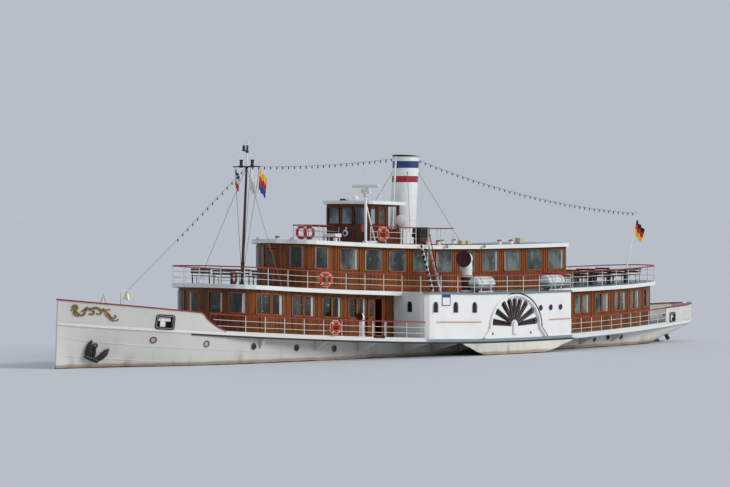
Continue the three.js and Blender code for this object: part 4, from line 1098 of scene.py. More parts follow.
def arc(
    centre: Point, radius: float, start: float, end: float, steps: int, radius_b: Optional[float] = None
) -> list[Pair]:
    """Points on an arc between two angles in degrees, round or with its own second radius.

    Args:
        centre: Its centre.
        radius: Its radius.
        start: First angle.
        end: Last angle.
        steps: Number of steps.
        radius_b: The second radius, if it's another.

    Returns:
        The points.
    """
    tall = radius if radius_b is None else radius_b
    turns = [math.radians(start + (end - start) * i / steps) for i in range(steps + 1)]
    return [(centre[0] + radius * math.cos(t), centre[1] + tall * math.sin(t)) for t in turns]


def rounded_front(tip: float, half: float, bow: float, corner: float, steps: int = 8) -> list[Pair]:
    """The port half of a rounded front, from the centre line outwards.

    Args:
        tip: Station of its foremost point.
        half: Its half-breadth.
        bow: How far its front bows out.
        corner: Radius of its corner.
        steps: Number of steps round the corner.

    Returns:
        The points.
    """
    flat = half - corner
    bend = arc((tip - bow - corner, flat), corner, 0, 90, steps)
    return [(tip, 0.0), (tip - bow * 0.25, flat * 0.5), *bend]


def mirrored(port: Outline) -> list[Pair]:
    """A whole outline from its port half."""
    return [*port, *[(a, -b) for a, b in reversed(port) if b > 1e-5]]


def inset(outline: Outline, distance: float) -> list[Pair]:
    """An outline drawn inwards by a distance, square to its sides.

    Args:
        outline: The closed outline.
        distance: How far inwards.

    Returns:
        The new outline.
    """
    after = [*outline[1:], outline[0]]
    inward = math.copysign(1.0, sum(p[0] * q[1] - q[0] * p[1] for p, q in zip(outline, after)))
    moved = []
    for i, here in enumerate(outline):
        normals = []
        for p, q in ((outline[i - 1], here), (here, after[i])):
            length = math.hypot(q[0] - p[0], q[1] - p[1])
            normals.append((-(q[1] - p[1]) / length * inward, (q[0] - p[0]) / length * inward))
        (ua, ub), (va, vb) = normals
        spread = 1 + ua * va + ub * vb
        moved.append((here[0] + distance * (ua + va) / spread, here[1] + distance * (ub + vb) / spread))
    return moved


def strip(width: float, thick: float) -> list[Pair]:
    """A flat section for a moulding, thick aside and wide upwards."""
    return [(-thick, -width / 2), (thick, -width / 2), (thick, width / 2), (-thick, width / 2)]


def stations(start: float, end: float, step: float = 0.5) -> list[float]:
    """Even stations from a start to an end."""
    count = max(1, round(abs(end - start) / step))
    return [start + (end - start) * i / count for i in range(count + 1)]


@dataclass(frozen=True)
class HullShell:
    """The hull on smooth lines, with its deadwood and the head of the rudder."""

    levels: tuple[float, ...] = (0, 0.03, 0.06, 0.12, 0.2, 0.28, 0.36, 0.44, 0.52, 0.6, 0.7, 0.8, 0.9, 1)
    ends: tuple[float, ...] = (26, 25.8, 25.5, 25.2, 24.8, 24.4, -24.4, -24.8, -25.2, -25.45, -25.65)
    deadwood: Outline = (
        (-8, -1.5), (-22.1, -1.5), (-22.1, -1.4), (-21.62, -1.4), (-21.62, 0.45), (-18, -0.55), (-14, -1.15),
        (-8, -1.3),
    )

    def ring(self, a: float) -> list[Vector]:
        """The points round one station.

        Args:
            a: Station.

        Returns:
            The points, keel first.
        """
        bottom, top = eased(HULL_LINES, a)[2], sheer(a) - DECK_PLATE
        rows = [(t, bottom + (top - bottom) * t) for t in self.levels]
        port = [Vector((lean(a, z), hull_half(a, t), z)) for t, z in rows]
        port[-1].z = sheer(port[-1].x) - DECK_PLATE
        return [*port, *[Vector((p.x, -p.y, p.z)) for p in reversed(port)]]

    def build(self) -> None:
        """Make the hull in place of the plain one."""
        form = Form(HULL_WHITE)
        form.lofted([self.ring(a) for a in sorted({*self.ends, *stations(24, -24)}, reverse=True)])
        form.plate([(a, -0.07, z) for a, z in self.deadwood], (0, 0.14, 0))
        form.bar((-21.8, 0, 0.145), (-21.8, 0, 0.6), 0.4, 0.28)
        form.piece("hull_shell", stands_for=("hull",))


@dataclass(frozen=True)
class BowBulwark:
    """The bow's bulwark on smooth lines, open at its mooring ports."""

    thick: float = 0.08
    foot: float = -0.125
    port: tuple[float, float, float, float] = (21.08, 20.24, 0.04, 0.65)

    def strip(self, form: Form, start: float, end: float, low: float, high: Optional[float] = None) -> None:
        """Plating between two stations and two heights, or up to the rail.

        Args:
            form: Where it is made.
            start: First station.
            end: Last station.
            low: Lower height.
            high: Upper height, nothing for the rail.
        """
        marks = {r[0] for r in BOW_BULWARK if end < r[0] < start}
        rings = []
        for a in sorted({*stations(start, end, 0.25), *marks}, reverse=True):
            top = eased(BOW_BULWARK, a)[1] if high is None else high
            outer = [on_bulwark(BOW_BULWARK, a, h) for h in (low, top)]
            rings.append([*outer, *[Vector((p.x, max(p.y - self.thick, 0.0), p.z)) for p in reversed(outer)]])
        form.lofted(rings)

    def build(self) -> None:
        """Make both sides in place of the plain one."""
        fore, aft, low, high = self.port
        form = Form(HULL_WHITE)
        self.strip(form, 26, fore, self.foot)
        self.strip(form, fore, aft, self.foot, low)
        self.strip(form, fore, aft, high)
        self.strip(form, aft, 16.9, self.foot)
        form.both_sides().piece("bow_bulwark_plates", stands_for=("bow_bulwark",))


@dataclass(frozen=True)
class HullTrim:
    """Portholes, plate laps, port frames, bulwark caps, the bow's scroll and the exhaust."""

    portholes: Outline = (
        (21.14, 1.39), (18.12, 1.12), (15.0, 0.9), (11.95, 0.74), (9.12, 0.62),
        (-11.8, 0.45), (-13.1, 0.53), (-14.5, 0.57), (-15.9, 0.57),
    )
    laps: tuple[Outline, ...] = (
        ((25.75, 1.59), (24, 1.35), (21.7, 1.11), (18.65, 0.88), (10.9, 0.4), (6.0, 0.25)),
        ((25.5, 0.67), (24.1, 0.53), (22.2, 0.39), (20.4, 0.26)),
    )
    # Each curl of the scroll has rows of station, height over the water and thickness
    scroll: tuple[tuple[Triple, ...], ...] = (
        (
            (25.62, 3.16, 0.05), (25.5, 3.27, 0.08), (25.36, 3.2, 0.09), (25.42, 3.04, 0.08),
            (25.5, 2.9, 0.07), (25.36, 2.76, 0.05), (25.26, 2.8, 0.03),
        ),
        (
            (25.62, 3.04, 0.03), (25.5, 3.1, 0.06), (25.4, 2.98, 0.07), (25.28, 2.86, 0.06),
            (25.26, 2.7, 0.03),
        ),
        (
            (25.24, 2.86, 0.04), (25.1, 2.76, 0.06), (24.98, 2.84, 0.07), (24.94, 3.0, 0.07),
            (24.8, 3.1, 0.07), (24.6, 3.04, 0.07), (24.5, 2.9, 0.06), (24.6, 2.8, 0.05),
            (24.72, 2.84, 0.03),
        ),
        (
            (24.76, 3.04, 0.05), (24.52, 3.14, 0.07), (24.3, 3.1, 0.07), (24.14, 2.96, 0.06),
            (24.22, 2.82, 0.05), (24.36, 2.84, 0.03),
        ),
        (
            (24.3, 3.02, 0.04), (24.06, 3.0, 0.06), (23.84, 2.86, 0.07), (23.7, 2.7, 0.06),
            (23.56, 2.6, 0.06), (23.42, 2.66, 0.04), (23.48, 2.74, 0.02),
        ),
        (
            (24.0, 2.82, 0.03), (23.8, 2.68, 0.05), (23.64, 2.52, 0.05), (23.46, 2.48, 0.04),
            (23.3, 2.52, 0.02),
        ),
        ((25.1, 2.98, 0.03), (24.95, 3.12, 0.05), (24.84, 3.2, 0.03)),
        ((24.08, 3.08, 0.02), (23.94, 3.02, 0.04), (23.8, 3.06, 0.03), (23.74, 2.98, 0.02)),
    )
    # Bulwark, station, half-length, foot, head, reach of the bitt's arms and shift of the bitt
    ports: tuple[tuple, ...] = (
        (BOW_BULWARK, 20.66, 0.41, 0.07, 0.62, 0.32, 0.05),
        (STERN_BULWARK, -21.75, 0.27, 0.07, 0.5, 0.17, 0.03),
    )
    corner: float = 0.1
    cap: Outline = (
        (-0.07, -0.025), (0.07, -0.025), (0.07, 0.02), (0.05, 0.04), (-0.05, 0.04), (-0.07, 0.02),
    )
    # Depth of the black box behind each mooring port, a painted shadow of the bulwark's inside
    lining: float = -0.23

    def build(self) -> None:
        """Make the trim on both sides."""
        self.round_windows()
        self.mouldings()
        self.caps()
        self.port_frames()
        self.carving()

    def outward(self, a: float, z: float) -> Vector:
        """The direction square to the plating.

        Args:
            a: Station.
            z: Height over the waterline.

        Returns:
            The direction.
        """
        here = on_hull(a, z)
        along = on_hull(a + 0.3, z) - here
        upward = on_hull(a, z + 0.2) - here
        return -along.cross(upward).normalized()

    def round_windows(self) -> None:
        """Rust-red rims around dark glass."""
        form = Form(RUST_RIM)
        pane = [(0, -0.02), (0.14, -0.02), (0.14, 0.012), (0, 0.018)]
        for a, z in self.portholes:
            out = self.outward(a, z)
            here = on_hull(a, z)
            form.use(RUST_RIM).ring(here + out * 0.012, out, 0.155, 0.032)
            form.use(PALE_EDGE if a > 17 else DARK_PANE).spun(pane, here, out, 24)
            form.use(HULL_WHITE).ring(here + out * 0.008, out, 0.2, 0.018)
        form.both_sides().piece("hull_portholes")

    def mouldings(self) -> None:
        """Laps of the plating, the moulding at the deck's edge and the exhaust."""
        form = Form(HULL_WHITE)
        for lap in self.laps:
            path = []
            for (a, z), (b, w) in zip(lap, lap[1:]):
                path += [(s, z + (w - z) * (s - a) / (b - a)) for s in stations(a, b)[:-1]]
            form.swept([on_hull(a, z, 0.004) for a, z in [*path, lap[-1]]], strip(0.05, 0.012))
        edge = [on_hull(a, sheer(a) - 0.13, 0.012) for a in stations(25.98, 19.2)]
        form.swept(edge, arc((0, 0), 0.035, 0, 360, 8)[:-1])
        aft = [on_hull(a, sheer(a) - 0.13, 0.02) for a in stations(-21.9, -25.5, 0.4)]
        form.use(GUARD_BLUE).swept(aft, strip(0.2, 0.03))
        head, foot = Vector((-21.87, 1.2, 0.86)), Vector((-22.34, 1.2, 0.24))
        form.use(BLACK).rod(head, foot, 0.12, 20).rod(foot, foot + (foot - head) * 0.02, 0.135, 20)
        form.both_sides().piece("hull_mouldings")

    def caps(self) -> None:
        """The dark red rail on top of each bulwark."""
        form = Form(CAP_RED)
        for table, read, first, last in (
            (BOW_BULWARK, eased, 25.98, 16.92), (STERN_BULWARK, between, -20.95, -25.6),
        ):
            bends = [row[0] for row in table if last < row[0] < first]
            places = sorted({*stations(first, last, 0.3), *bends}, reverse=True)
            path = [on_bulwark(table, a, read(table, a)[1], -0.03) + UP * 0.02 for a in places]
            form.swept(path, self.cap)
        form.both_sides().piece("bulwark_caps")

    def port_frames(self) -> None:
        """Dark rounded frames around the mooring ports, each with a black box inside as painted shadow, and a
        white bitt.
        """
        form = Form(BLACK)
        for table, a, half, low, high, reach, shift in self.ports:
            side, head, foot = half - self.corner, high - self.corner, low + self.corner
            turns = ((side, head, 0), (-side, head, 90), (-side, foot, 180), (side, foot, 270))
            outline = [p for u, v, turn in turns for p in arc((u, v), self.corner, turn, turn + 90, 5)]
            rise = (high + low) / 2
            for finish, grow, thick in ((BLACK, 0.0, 0.036), (STRAP, 0.04, 0.02), (BLACK, 0.08, 0.034)):
                wide, tall = 1 + grow / half, 1 + 2 * grow / (high - low)
                path = [on_bulwark(table, a + u * wide, rise + (v - rise) * tall, 0.008) for u, v in outline]
                form.use(finish).tube(path, thick, 8, closed=True, up=(0, 1, 0))
            spot = lambda u, v, off, t=table: on_bulwark(t, u, v, off)
            ends, levels = (a + half + 0.04, a - half - 0.04), (low - 0.05, high + 0.05)
            depths, square = (-0.02, self.lining), ((0, 0), (1, 0), (1, 1), (0, 1))
            # A black box round the back of each port, painted shadow
            form.use(BLACK)
            form.plate([spot(ends[i], levels[k], self.lining) for i, k in square], (0, -0.02, 0))
            for u in ends:
                form.plate([spot(u, levels[k], depths[i]) for i, k in square], (0.02, 0, 0))
            for v in levels:
                form.plate([spot(ends[k], v, depths[i]) for i, k in square], (0, 0, 0.02))
            bitt = [spot(a + shift, v, -0.12) for v in (low - 0.04, high - 0.1)]
            arms = [spot(a + shift + u, high - 0.12, -0.11) for u in (-reach * 1.2, reach * 1.2)]
            form.use(HOUSE_WHITE).bar(*bitt, reach * 1.15, 0.06, bevel=0.01)
            form.bar(*arms, 0.22, 0.09, bevel=0.015)
        form.both_sides().piece("mooring_port_frames")

    def carving(self) -> None:
        """The gilded scroll at the bow."""
        form = Form(GOLD)
        for curl in self.scroll:
            path = [on_bulwark(BOW_BULWARK, a - 0.26, z - 0.07 - sheer(a - 0.26), 0.02) for a, z, _ in curl]
            widths = [w * 0.82 for _, _, w in curl]
            thick = lambda t, w=widths: max(along_list(w, t), 0.012)
            form.tube(smooth_path(path, 4), 1.0, 8, up=(0, 1, 0), taper=thick)
            end = path[-1] if widths[-1] < widths[0] else path[0]
            form.ball(end, 0.045, 1.0, 10)
        form.both_sides().piece("bow_scroll")


def along_list(values: Sequence[float], share: float) -> float:
    """Read evenly spaced values at a share of their run.

    Args:
        values: The values.
        share: Share of the run, 0 to 1.

    Returns:
        The value there.
    """
    place = min(max(share, 0.0), 1.0) * (len(values) - 1)
    low = min(int(place), len(values) - 2)
    return values[low] + (values[low + 1] - values[low]) * (place - low)


def smooth_path(points: Sequence[Point], steps: int) -> list[Vector]:
    """Points on a smooth curve through the given ones.

    Args:
        points: The points that it goes through.
        steps: Steps between two of them.

    Returns:
        The curve's points.
    """
    known = [Vector(p) for p in points]
    known = [known[0], *known, known[-1]]
    made = []
    for p, q, r, s in zip(known, known[1:], known[2:], known[3:]):
        once, twice, thrice = r - p, 2 * p - 5 * q + 4 * r - s, 3 * q - p - 3 * r + s
        for t in (step / steps for step in range(steps)):
            made.append(0.5 * (2 * q + once * t + twice * t**2 + thrice * t**3))
    return [*made, known[-1]]


@dataclass(frozen=True)
class Window:
    """A window on a wall: its two ends in plan, its heights, and the curtains' shares of its width."""

    first: Pair
    last: Pair
    low: float
    high: float
    curtain: Pair = (0.0, 0.0)
    glazed: bool = True


def on_outline(outline: Outline, a: float) -> Pair:
    """The point of a port outline at a station.

    Args:
        outline: The outline's port half.
        a: Station.

    Returns:
        The point, or the outline's last one if it doesn't reach that station.
    """
    for (p, q), (r, s) in zip(outline, outline[1:]):
        if min(p, r) - 1e-6 <= a <= max(p, r) + 1e-6 and abs(p - r) > 1e-9:
            return (a, q + (s - q) * (a - p) / (r - p))
    return outline[-1]


@dataclass(frozen=True)
class Bay:
    """A window that follows a bent wall, with a curtain at its after end, or a panel over an old opening."""

    path: tuple[Pair, ...]
    curtain: int = 0
    panel: bool = False


@dataclass
class Joinery:
    """Window frames, panes, battens and mouldings on the walls of one house."""

    name: str
    base: float
    frame_paint: Paint
    batten_paint: Paint
    pane: Paint
    windows: list[Window]
    battens: list[tuple[Pair, Pair]]
    height: float
    runs: list[list[Pair]]
    frame_width: float = 0.06
    edging: bool = False
    middle: tuple[Window, ...] = ()
    bays: tuple[Bay, ...] = ()

    def build(self) -> None:
        """Make the joinery on both sides."""
        form = Form(self.frame_paint)
        for window in self.windows:
            self.framed(form, window)
        for bay in self.bays:
            self.bent(form, bay)
        form.use(self.batten_paint)
        for here, normal in self.battens:
            out = Vector((*normal, 0))
            foot = at(here[0], here[1], self.base + 0.03) + out * 0.012
            head = at(here[0], here[1], self.base + self.height) + out * 0.012
            form.bar(foot, head, 0.085, 0.03, out)
        for run in self.runs:
            for height, wide in ((0.07, 0.14), (self.height - 0.05, 0.08)):
                path = [at(a, b, self.base + height) for a, b in run]
                form.swept(path, strip(wide, 0.022))
        form.both_sides()
        for window in self.middle:
            self.framed(form, window)
        form.piece(f"{self.name}_joinery")

    def bent(self, form: Form, bay: Bay) -> None:
        """One bay, between the heights of the house's own windows.

        Args:
            form: Where it is made.
            bay: The bay.
        """
        low, high = self.windows[0].low, self.windows[0].high
        line = lambda points, height: [at(a, b, self.base + height) for a, b in points]
        if bay.panel:
            form.use(CABIN_WOOD).swept(line(bay.path, (low + high) / 2), strip(high - low + 0.1, 0.014))
            return
        cut = len(bay.path) - bay.curtain
        for finish, points in ((BAY_PANE, bay.path[:cut]), (CURTAIN, bay.path[cut - 1 :])):
            if len(points) > 1:
                form.use(finish).swept(line(points, (low + high) / 2), strip(high - low, 0.006))
        form.use(self.frame_paint)
        for height in (low, high):
            form.swept(line(bay.path, height), strip(self.frame_width, 0.024))
        for p, q in ((bay.path[0], bay.path[1]), (bay.path[-1], bay.path[-2])):
            out = Vector((p[1] - q[1], q[0] - p[0], 0)).normalized()
            ends = (*line([p], low - 0.03), *line([p], high + 0.03))
            form.use(self.frame_paint).bar(*ends, self.frame_width, 0.05, out)
            if self.edging:
                inner = Vector(p) + (Vector(q) - Vector(p)).normalized() * 0.06
                form.use(PALE_EDGE).bar(*line([inner], low), *line([inner], high), 0.03, 0.03, out)

    def corners(self, window: Window, out_by: float) -> tuple[list[Vector], Vector]:
        """The window's four corners and its way out.

        Args:
            window: The window.
            out_by: How far off the wall.

        Returns:
            The corners and the way out.
        """
        first, last = Vector((*window.first, 0)), Vector((*window.last, 0))
        run = (last - first).normalized()
        out = Vector((-run.y, run.x, 0))
        out = out if out.y > 0 or (abs(out.y) < 0.2 and out.x > 0) or out.x > 0.5 else -out
        ends = ((first, window.low), (last, window.low), (last, window.high), (first, window.high))
        return [at(p.x, p.y, self.base + h) + out * out_by for p, h in ends], out

    def framed(self, form: Form, window: Window) -> None:
        """One frame and what fills it.

        Args:
            form: Where it is made.
            window: The window.
        """
        points, out = self.corners(window, 0.012)
        for start, end in zip(points, [*points[1:], points[0]]):
            reach = (end - start).normalized() * (self.frame_width / 2)
            form.use(self.frame_paint).bar(start - reach, end + reach, self.frame_width, 0.045, out, 0.006)
        if window.glazed:
            self.glaze(form, window)

    def glaze(self, form: Form, window: Window) -> None:
        """The pane, with a curtain's band at each end and a pale edging.

        Args:
            form: Where it is made.
            window: The window.
        """
        points, out = self.corners(window, -0.035)
        marks = [0.0, window.curtain[0], 1 - window.curtain[1], 1.0]
        for finish, start, end in zip((CURTAIN, self.pane, CURTAIN), marks, marks[1:]):
            if end - start > 1e-6:
                low = [points[0].lerp(points[1], t) for t in (start, end)]
                high = [points[3].lerp(points[2], t) for t in (end, start)]
                form.use(finish).plate([*low, *high], out * -0.012)
        if self.edging:
            form.use(PALE_EDGE)
            lift = out * 0.012
            for i in (0, 1):
                shift = (points[1 - i] - points[i]) * 0.045 + lift
                form.bar(points[i] + shift, points[3 - i] + shift, 0.03, 0.02, out)


def level_path(points: Outline, height: float, closed: bool = False) -> list[Vector]:
    """A path over the main deck through points in plan, with a bend at each station.

    Args:
        points: The points.
        height: Height over the main deck.
        closed: Whether it comes back to its start.

    Returns:
        The path.
    """
    loop = [*points, points[0]] if closed else list(points)
    made: list[Vector] = []
    for (a, b), (c, d) in zip(loop, loop[1:]):
        marks = [k * STATION for k in range(-7, 8) if min(a, c) < k * STATION < max(a, c)]
        inner = sorted(marks, reverse=c < a)
        made += [at(a, b, height), *[at(m, b + (d - b) * (m - a) / (c - a), height) for m in inner]]
    return made if closed else [*made, at(*loop[-1], height)]


def spaced(points: Outline, pitch: float, closed: bool = False) -> list[Pair]:
    """Places along a path, at its sharp corners and about a pitch apart between them.

    Args:
        points: The path.
        pitch: The wanted distance.
        closed: Whether it comes back to its start.

    Returns:
        The places.
    """
    loop = [Vector(p) for p in ([*points, points[0]] if closed else points)]

    def sharp(i: int) -> bool:
        """Whether the path turns sharply at a point."""
        before, after = loop[i - 1] if i else loop[-2], loop[i + 1] if i + 1 < len(loop) else loop[1]
        return (loop[i] - before).angle(after - loop[i]) > 0.7

    ends = [i for i in range(len(loop)) if (not closed and i in (0, len(loop) - 1)) or sharp(i)]
    if closed and (not ends or ends[0] != 0):
        ends = [0, *ends]
    if ends[-1] != len(loop) - 1:
        ends.append(len(loop) - 1)
    places: list[Pair] = []
    for first, last in zip(ends, ends[1:]):
        lengths = [(loop[i + 1] - loop[i]).length for i in range(first, last)]
        total = sum(lengths)
        steps = max(1, round(total / pitch))
        for k in range(steps):
            reach, i = total * k / steps, first
            while reach > lengths[i - first] and i < last - 1:
                reach -= lengths[i - first]
                i += 1
            p = loop[i].lerp(loop[i + 1], reach / lengths[i - first])
            places.append((p.x, p.y))
    if not closed:
        places.append(tuple(loop[-1]))
    return places


@dataclass(frozen=True)
class Railings:
    """White posts and bars with a dark red handrail, for every deck and gate."""

    mids: tuple[float, ...] = (0.32, 0.63)
    post: float = 0.022
    bar: float = 0.014
    fore_posts: tuple[float, ...] = (15.75, 14.55, 13.35, 12.1, 10.84, 9.64, 8.45, 7.6, 6.7, 5.35, 4.15)
    rail_starts: Outline = ((17.9, 0.93), (17.72, 0.63), (17.45, 0.32))
    gate: Pair = (7.53, 6.77)
    aft_corners: tuple[float, ...] = (-8.2, -11.7, -16.9, -20.75)
    boat_deck: tuple[Outline, ...] = (
        ((1.7, -2.43), (6.4, -2.43), (6.4, -0.45), (4.85, -0.45)),
        ((5.35, 2.43), (1.7, 2.43)),
        ((0.7, 2.43), (-1.4, 2.43), (-1.4, -2.43), (0.7, -2.43)),
    )
    hand: Outline = (
        (0.042, -0.035), (0.042, 0.012), (0.022, 0.028), (-0.022, 0.028), (-0.042, 0.012), (-0.042, -0.035),
    )

    def run(
        self, form: Form, points: Outline, posts: Outline, level: float, closed: bool = False,
        foot: float = 0.0,
    ) -> None:
        """One run of rail.

        Args:
            form: Where it is made.
            points: The path that its bars follow, in plan.
            posts: Where its posts stand.
            level: Height of its foot over the main deck.
            closed: Whether it comes back to its start.
            foot: Height of the posts' feet over that level.
        """
        form.use(RAIL_RED)
        path = level_path(points, level + RAIL_HEIGHT - 0.02, closed)
        form.swept(path, self.hand, closed)
        form.use(RAIL_WHITE)
        for height in self.mids:
            form.tube(level_path(points, level + height, closed), self.bar, 6, closed)
        for a, b in posts:
            below = at(a, b, level)
            form.post(below, foot, RAIL_HEIGHT - 0.02, self.post)
            if not foot:
                form.post(below, 0, 0.02, self.post * 2)
            for height in self.mids:
                form.ball(below + UP * height, self.post * 1.35, 1.0, 6)

    def kerb(self, form: Form, points: Outline) -> None:
        """The white kerb at the edge of the main deck."""
        form.use(TRIM_WHITE).swept(level_path(points, 0.035), strip(0.07, 0.035))

    def edge(self, a: float) -> Pair:
        """The place of the main rail at a station."""
        return (a, guard_half(a) - 0.07)

    def build(self) -> None:
        """Make every rail."""
        self.main_fore()
        form = Form(RAIL_RED)
        aft = [self.edge(a) for a in self.aft_corners]
        self.run(form, aft, spaced(aft, 1.3), 0)
        self.kerb(form, aft)
        nodes = ("main_rail_aft_port", "main_rail_aft_starboard")
        form.both_sides().piece("main_rails_aft", stands_for=nodes)
        self.gates()
        form = Form(RAIL_RED)
        outline = inset(promenade_outline(), 0.07)
        self.run(form, outline, spaced(outline, 1.35, True), PROMENADE, True)
        form.piece("promenade_rails", stands_for=("promenade_rail",))
        form = Form(RAIL_RED)
        for points in self.boat_deck:
            self.run(form, points, spaced(points, 1.3), BOAT_DECK)
        form.piece("boat_deck_rails", stands_for=("boat_deck_rail_fore", "boat_deck_rail_aft"))

    def main_fore(self) -> None:
        """The main rail on both ends of the gate, with its sloping start and its kerb."""
        form = Form(RAIL_RED)
        first, last = self.gate
        fore = [a for a in self.fore_posts if a > first]
        aft = [a for a in self.fore_posts if a < last]
        for posts, bend in ((fore, 12.7), (aft, 6.6)):
            corners = sorted([*posts, bend], reverse=True)
            self.run(form, [self.edge(a) for a in corners], [self.edge(a) for a in posts], 0)
        for start, height in self.rail_starts:
            path = level_path([self.edge(a) for a in (start, 17, fore[0])], height)
            if height > self.mids[-1]:
                form.use(RAIL_RED).swept(path, self.hand)
            else:
                form.use(RAIL_WHITE).tube(path, self.bar)
        for ends in ((16.95, 12.7, first), (last, 6.6, aft[-1])):
            self.kerb(form, [self.edge(a) for a in ends])
        nodes = ("main_rail_fore_port", "main_rail_fore_starboard")
        form.both_sides().piece("main_rails_fore", stands_for=nodes)

    def gates(self) -> None:
        """The rail and the hinges of each gate."""
        for word, side in (("port", 1), ("starboard", -1)):
            form = Form(RAIL_RED)
            ends = [(a, self.edge(a)[1] * side) for a in self.gate]
            self.run(form, ends, ends, 0, foot=0.14)
            form.use(STEEL)
            for height in (0.2, 0.8):
                form.post(at(*ends[0]), height, height + 0.08, 0.034, 10)
            form.piece(f"gate_rails_{word}", f"gate_{word}", (f"gate_{word}",))


PROMENADE_SIDE = [
    (12, 3.3), (6, 3.55), (4.12, 3.62), *arc((3.57, 4.9), 0.55, 0, 90, 6), (-8.17, 5.45), (-8.17, 3.32),
    (-13, 3.3), (-15, 3.2), (-17, 2.92), (-18.8, 2.45), (-20.3, 1.85), (-21, 1.1), (-21.25, 0),
]


def promenade_outline() -> list[Pair]:
    """The promenade deck's whole outline."""
    return mirrored([*rounded_front(16.0, 3.2, 0.3, 1.4), *PROMENADE_SIDE])


AFT_HOUSE = [
    (-8.14, 2.93), (-13, 2.93), (-15.1, 2.88), (-17, 2.57), (-18.8, 2.07), (-20.3, 1.45), (-20.85, 0.8),
    (-21, 0),
]
# The two ends of each window, by station
FORE_LIGHTS = [
    (13.5, 12.67), (11.98, 11.18), (11.1, 10.3), (9.68, 8.98), (8.92, 8.23), (7.67, 7.02), (6.95, 6.3),
]
AFT_LIGHTS = [
    (-11.4 - 1.85 * i - x, -11.4 - 1.85 * i - y) for i in range(5) for x, y in ((0, 0.62), (0.7, 1.32))
]
SALOON_LIGHTS = [(7.51 - 1.93 * i, 7.51 - 1.93 * i - 1.4) for i in range(10)]


def houses() -> list[Joinery]:
    """The joinery of the three varnished houses.

    Returns:
        The joinery, fore house first.
    """
    pairs = ((0.12, 0.0), (0.0, 0.27))
    side = lambda b, lights, low, high, curtains: [
        Window((x, b), (y, b), low, high, curtains[i % len(curtains)]) for i, (x, y) in enumerate(lights)
    ]
    fore_front = rounded_front(15.65, 2.95, 0.25, 1.3)
    bend = lambda start, end, steps: arc((14.1, 1.65), 1.312, start, end, steps)
    saloon_front = rounded_front(10.7, 2.2, 0.5, 1.2)
    saloon_bend = lambda start, end, steps: arc((9.0, 1.0), 1.212, start, end, steps)
    fore = Joinery(
        "fore_house", 0.0, FRAME_WOOD, BATTEN_WOOD, HOUSE_PANE,
        [
            *side(2.95, FORE_LIGHTS, 1.05, 2.12, pairs[::-1]),
            Window((15.6, 0.36), (15.48, 1.3), 1.05, 2.12, (0.0, 0.2)),
            Window((5.62, 2.96), (5.0, 2.96), 0.12, 2.15, glazed=False),
        ],
        [((a, 2.95), (0, 1)) for a in (14.29, 12.33, 10.0, 7.95, 4.6)],
        2.43,
        [[*fore_front, (5.75, 2.95)], [(4.9, 2.95), (4.2, 2.95)]],
        bays=(
            Bay(tuple(bend(3, 44, 10)), 2), Bay(tuple(bend(46.5, 67, 6)), panel=True),
            Bay((*bend(69, 90, 6), (13.6, 2.962))),
        ),
    )
    aft_walls = [(on_outline(AFT_HOUSE, x), on_outline(AFT_HOUSE, y)) for x, y in AFT_LIGHTS]
    aft = Joinery(
        "aft_house", 0.0, FRAME_WOOD, BATTEN_WOOD, SALOON_PANE,
        [
            *[Window(first, last, 1.05, 2.12, pairs[i % 2]) for i, (first, last) in enumerate(aft_walls)],
            Window((-9.5, 2.94), (-10.2, 2.94), 0.12, 2.15, glazed=False),
        ],
        [
            *[((a, 2.93), (0, 1)) for a in (-8.6, -11.1)],
            *[(on_outline(AFT_HOUSE, a), (-0.12, 0.99)) for a in (-12.98, -14.83, -16.7)],
        ],
        2.43,
        [[(-8.2, 2.93), (-9.4, 2.93)], [(-10.3, 2.93), *AFT_HOUSE[1:]]],
    )
    saloon = Joinery(
        "saloon", PROMENADE, FRAME_WOOD, BATTEN_WOOD, SALOON_PANE,
        side(2.2, SALOON_LIGHTS, 1.1, 2.25, ((0.0, 0.12), (0.1, 0.0), (0.0, 0.0))),
        [((first + gap, 2.2), (0, 1)) for first, _ in SALOON_LIGHTS for gap in (0.17, 0.36)],
        2.48,
        [[*saloon_front[1:], (-11.45, 2.2)]],
        edging=True,
        bays=(
            Bay(tuple(saloon_bend(1, 40, 10))), Bay(tuple(saloon_bend(42, 68, 6)), panel=True),
            Bay((*saloon_bend(70, 90, 6), (8.45, 2.212))),
            Bay(((10.585, 0.55), (10.42, 0.8), (10.215, 1.0)), panel=True),
        ),
    )
    bridge = Joinery(
        "bridge", BOAT_DECK, BRIDGE_FRAME, BRIDGE_FRAME, BRIDGE_PANE,
        [
            Window((4.71, 0.55), (4.71, 1.42), 1.05, 1.95),
            Window((4.54, 1.65), (4.1, 1.65), 1.05, 1.95),
            Window((3.98, 1.65), (3.3, 1.65), 0.1, 2.0, glazed=False),
        ],
        [((a, 1.64), (0, 1)) for a in (3.15, 2.25)],
        2.18,
        [[(4.7, 0.0), (4.7, 1.52), (4.58, 1.64), (4.05, 1.64)], [(3.2, 1.64), (2.24, 1.64)]],
        middle=(Window((4.71, -0.42), (4.71, 0.42), 1.05, 1.95),),
    )
    return [fore, aft, saloon, bridge]


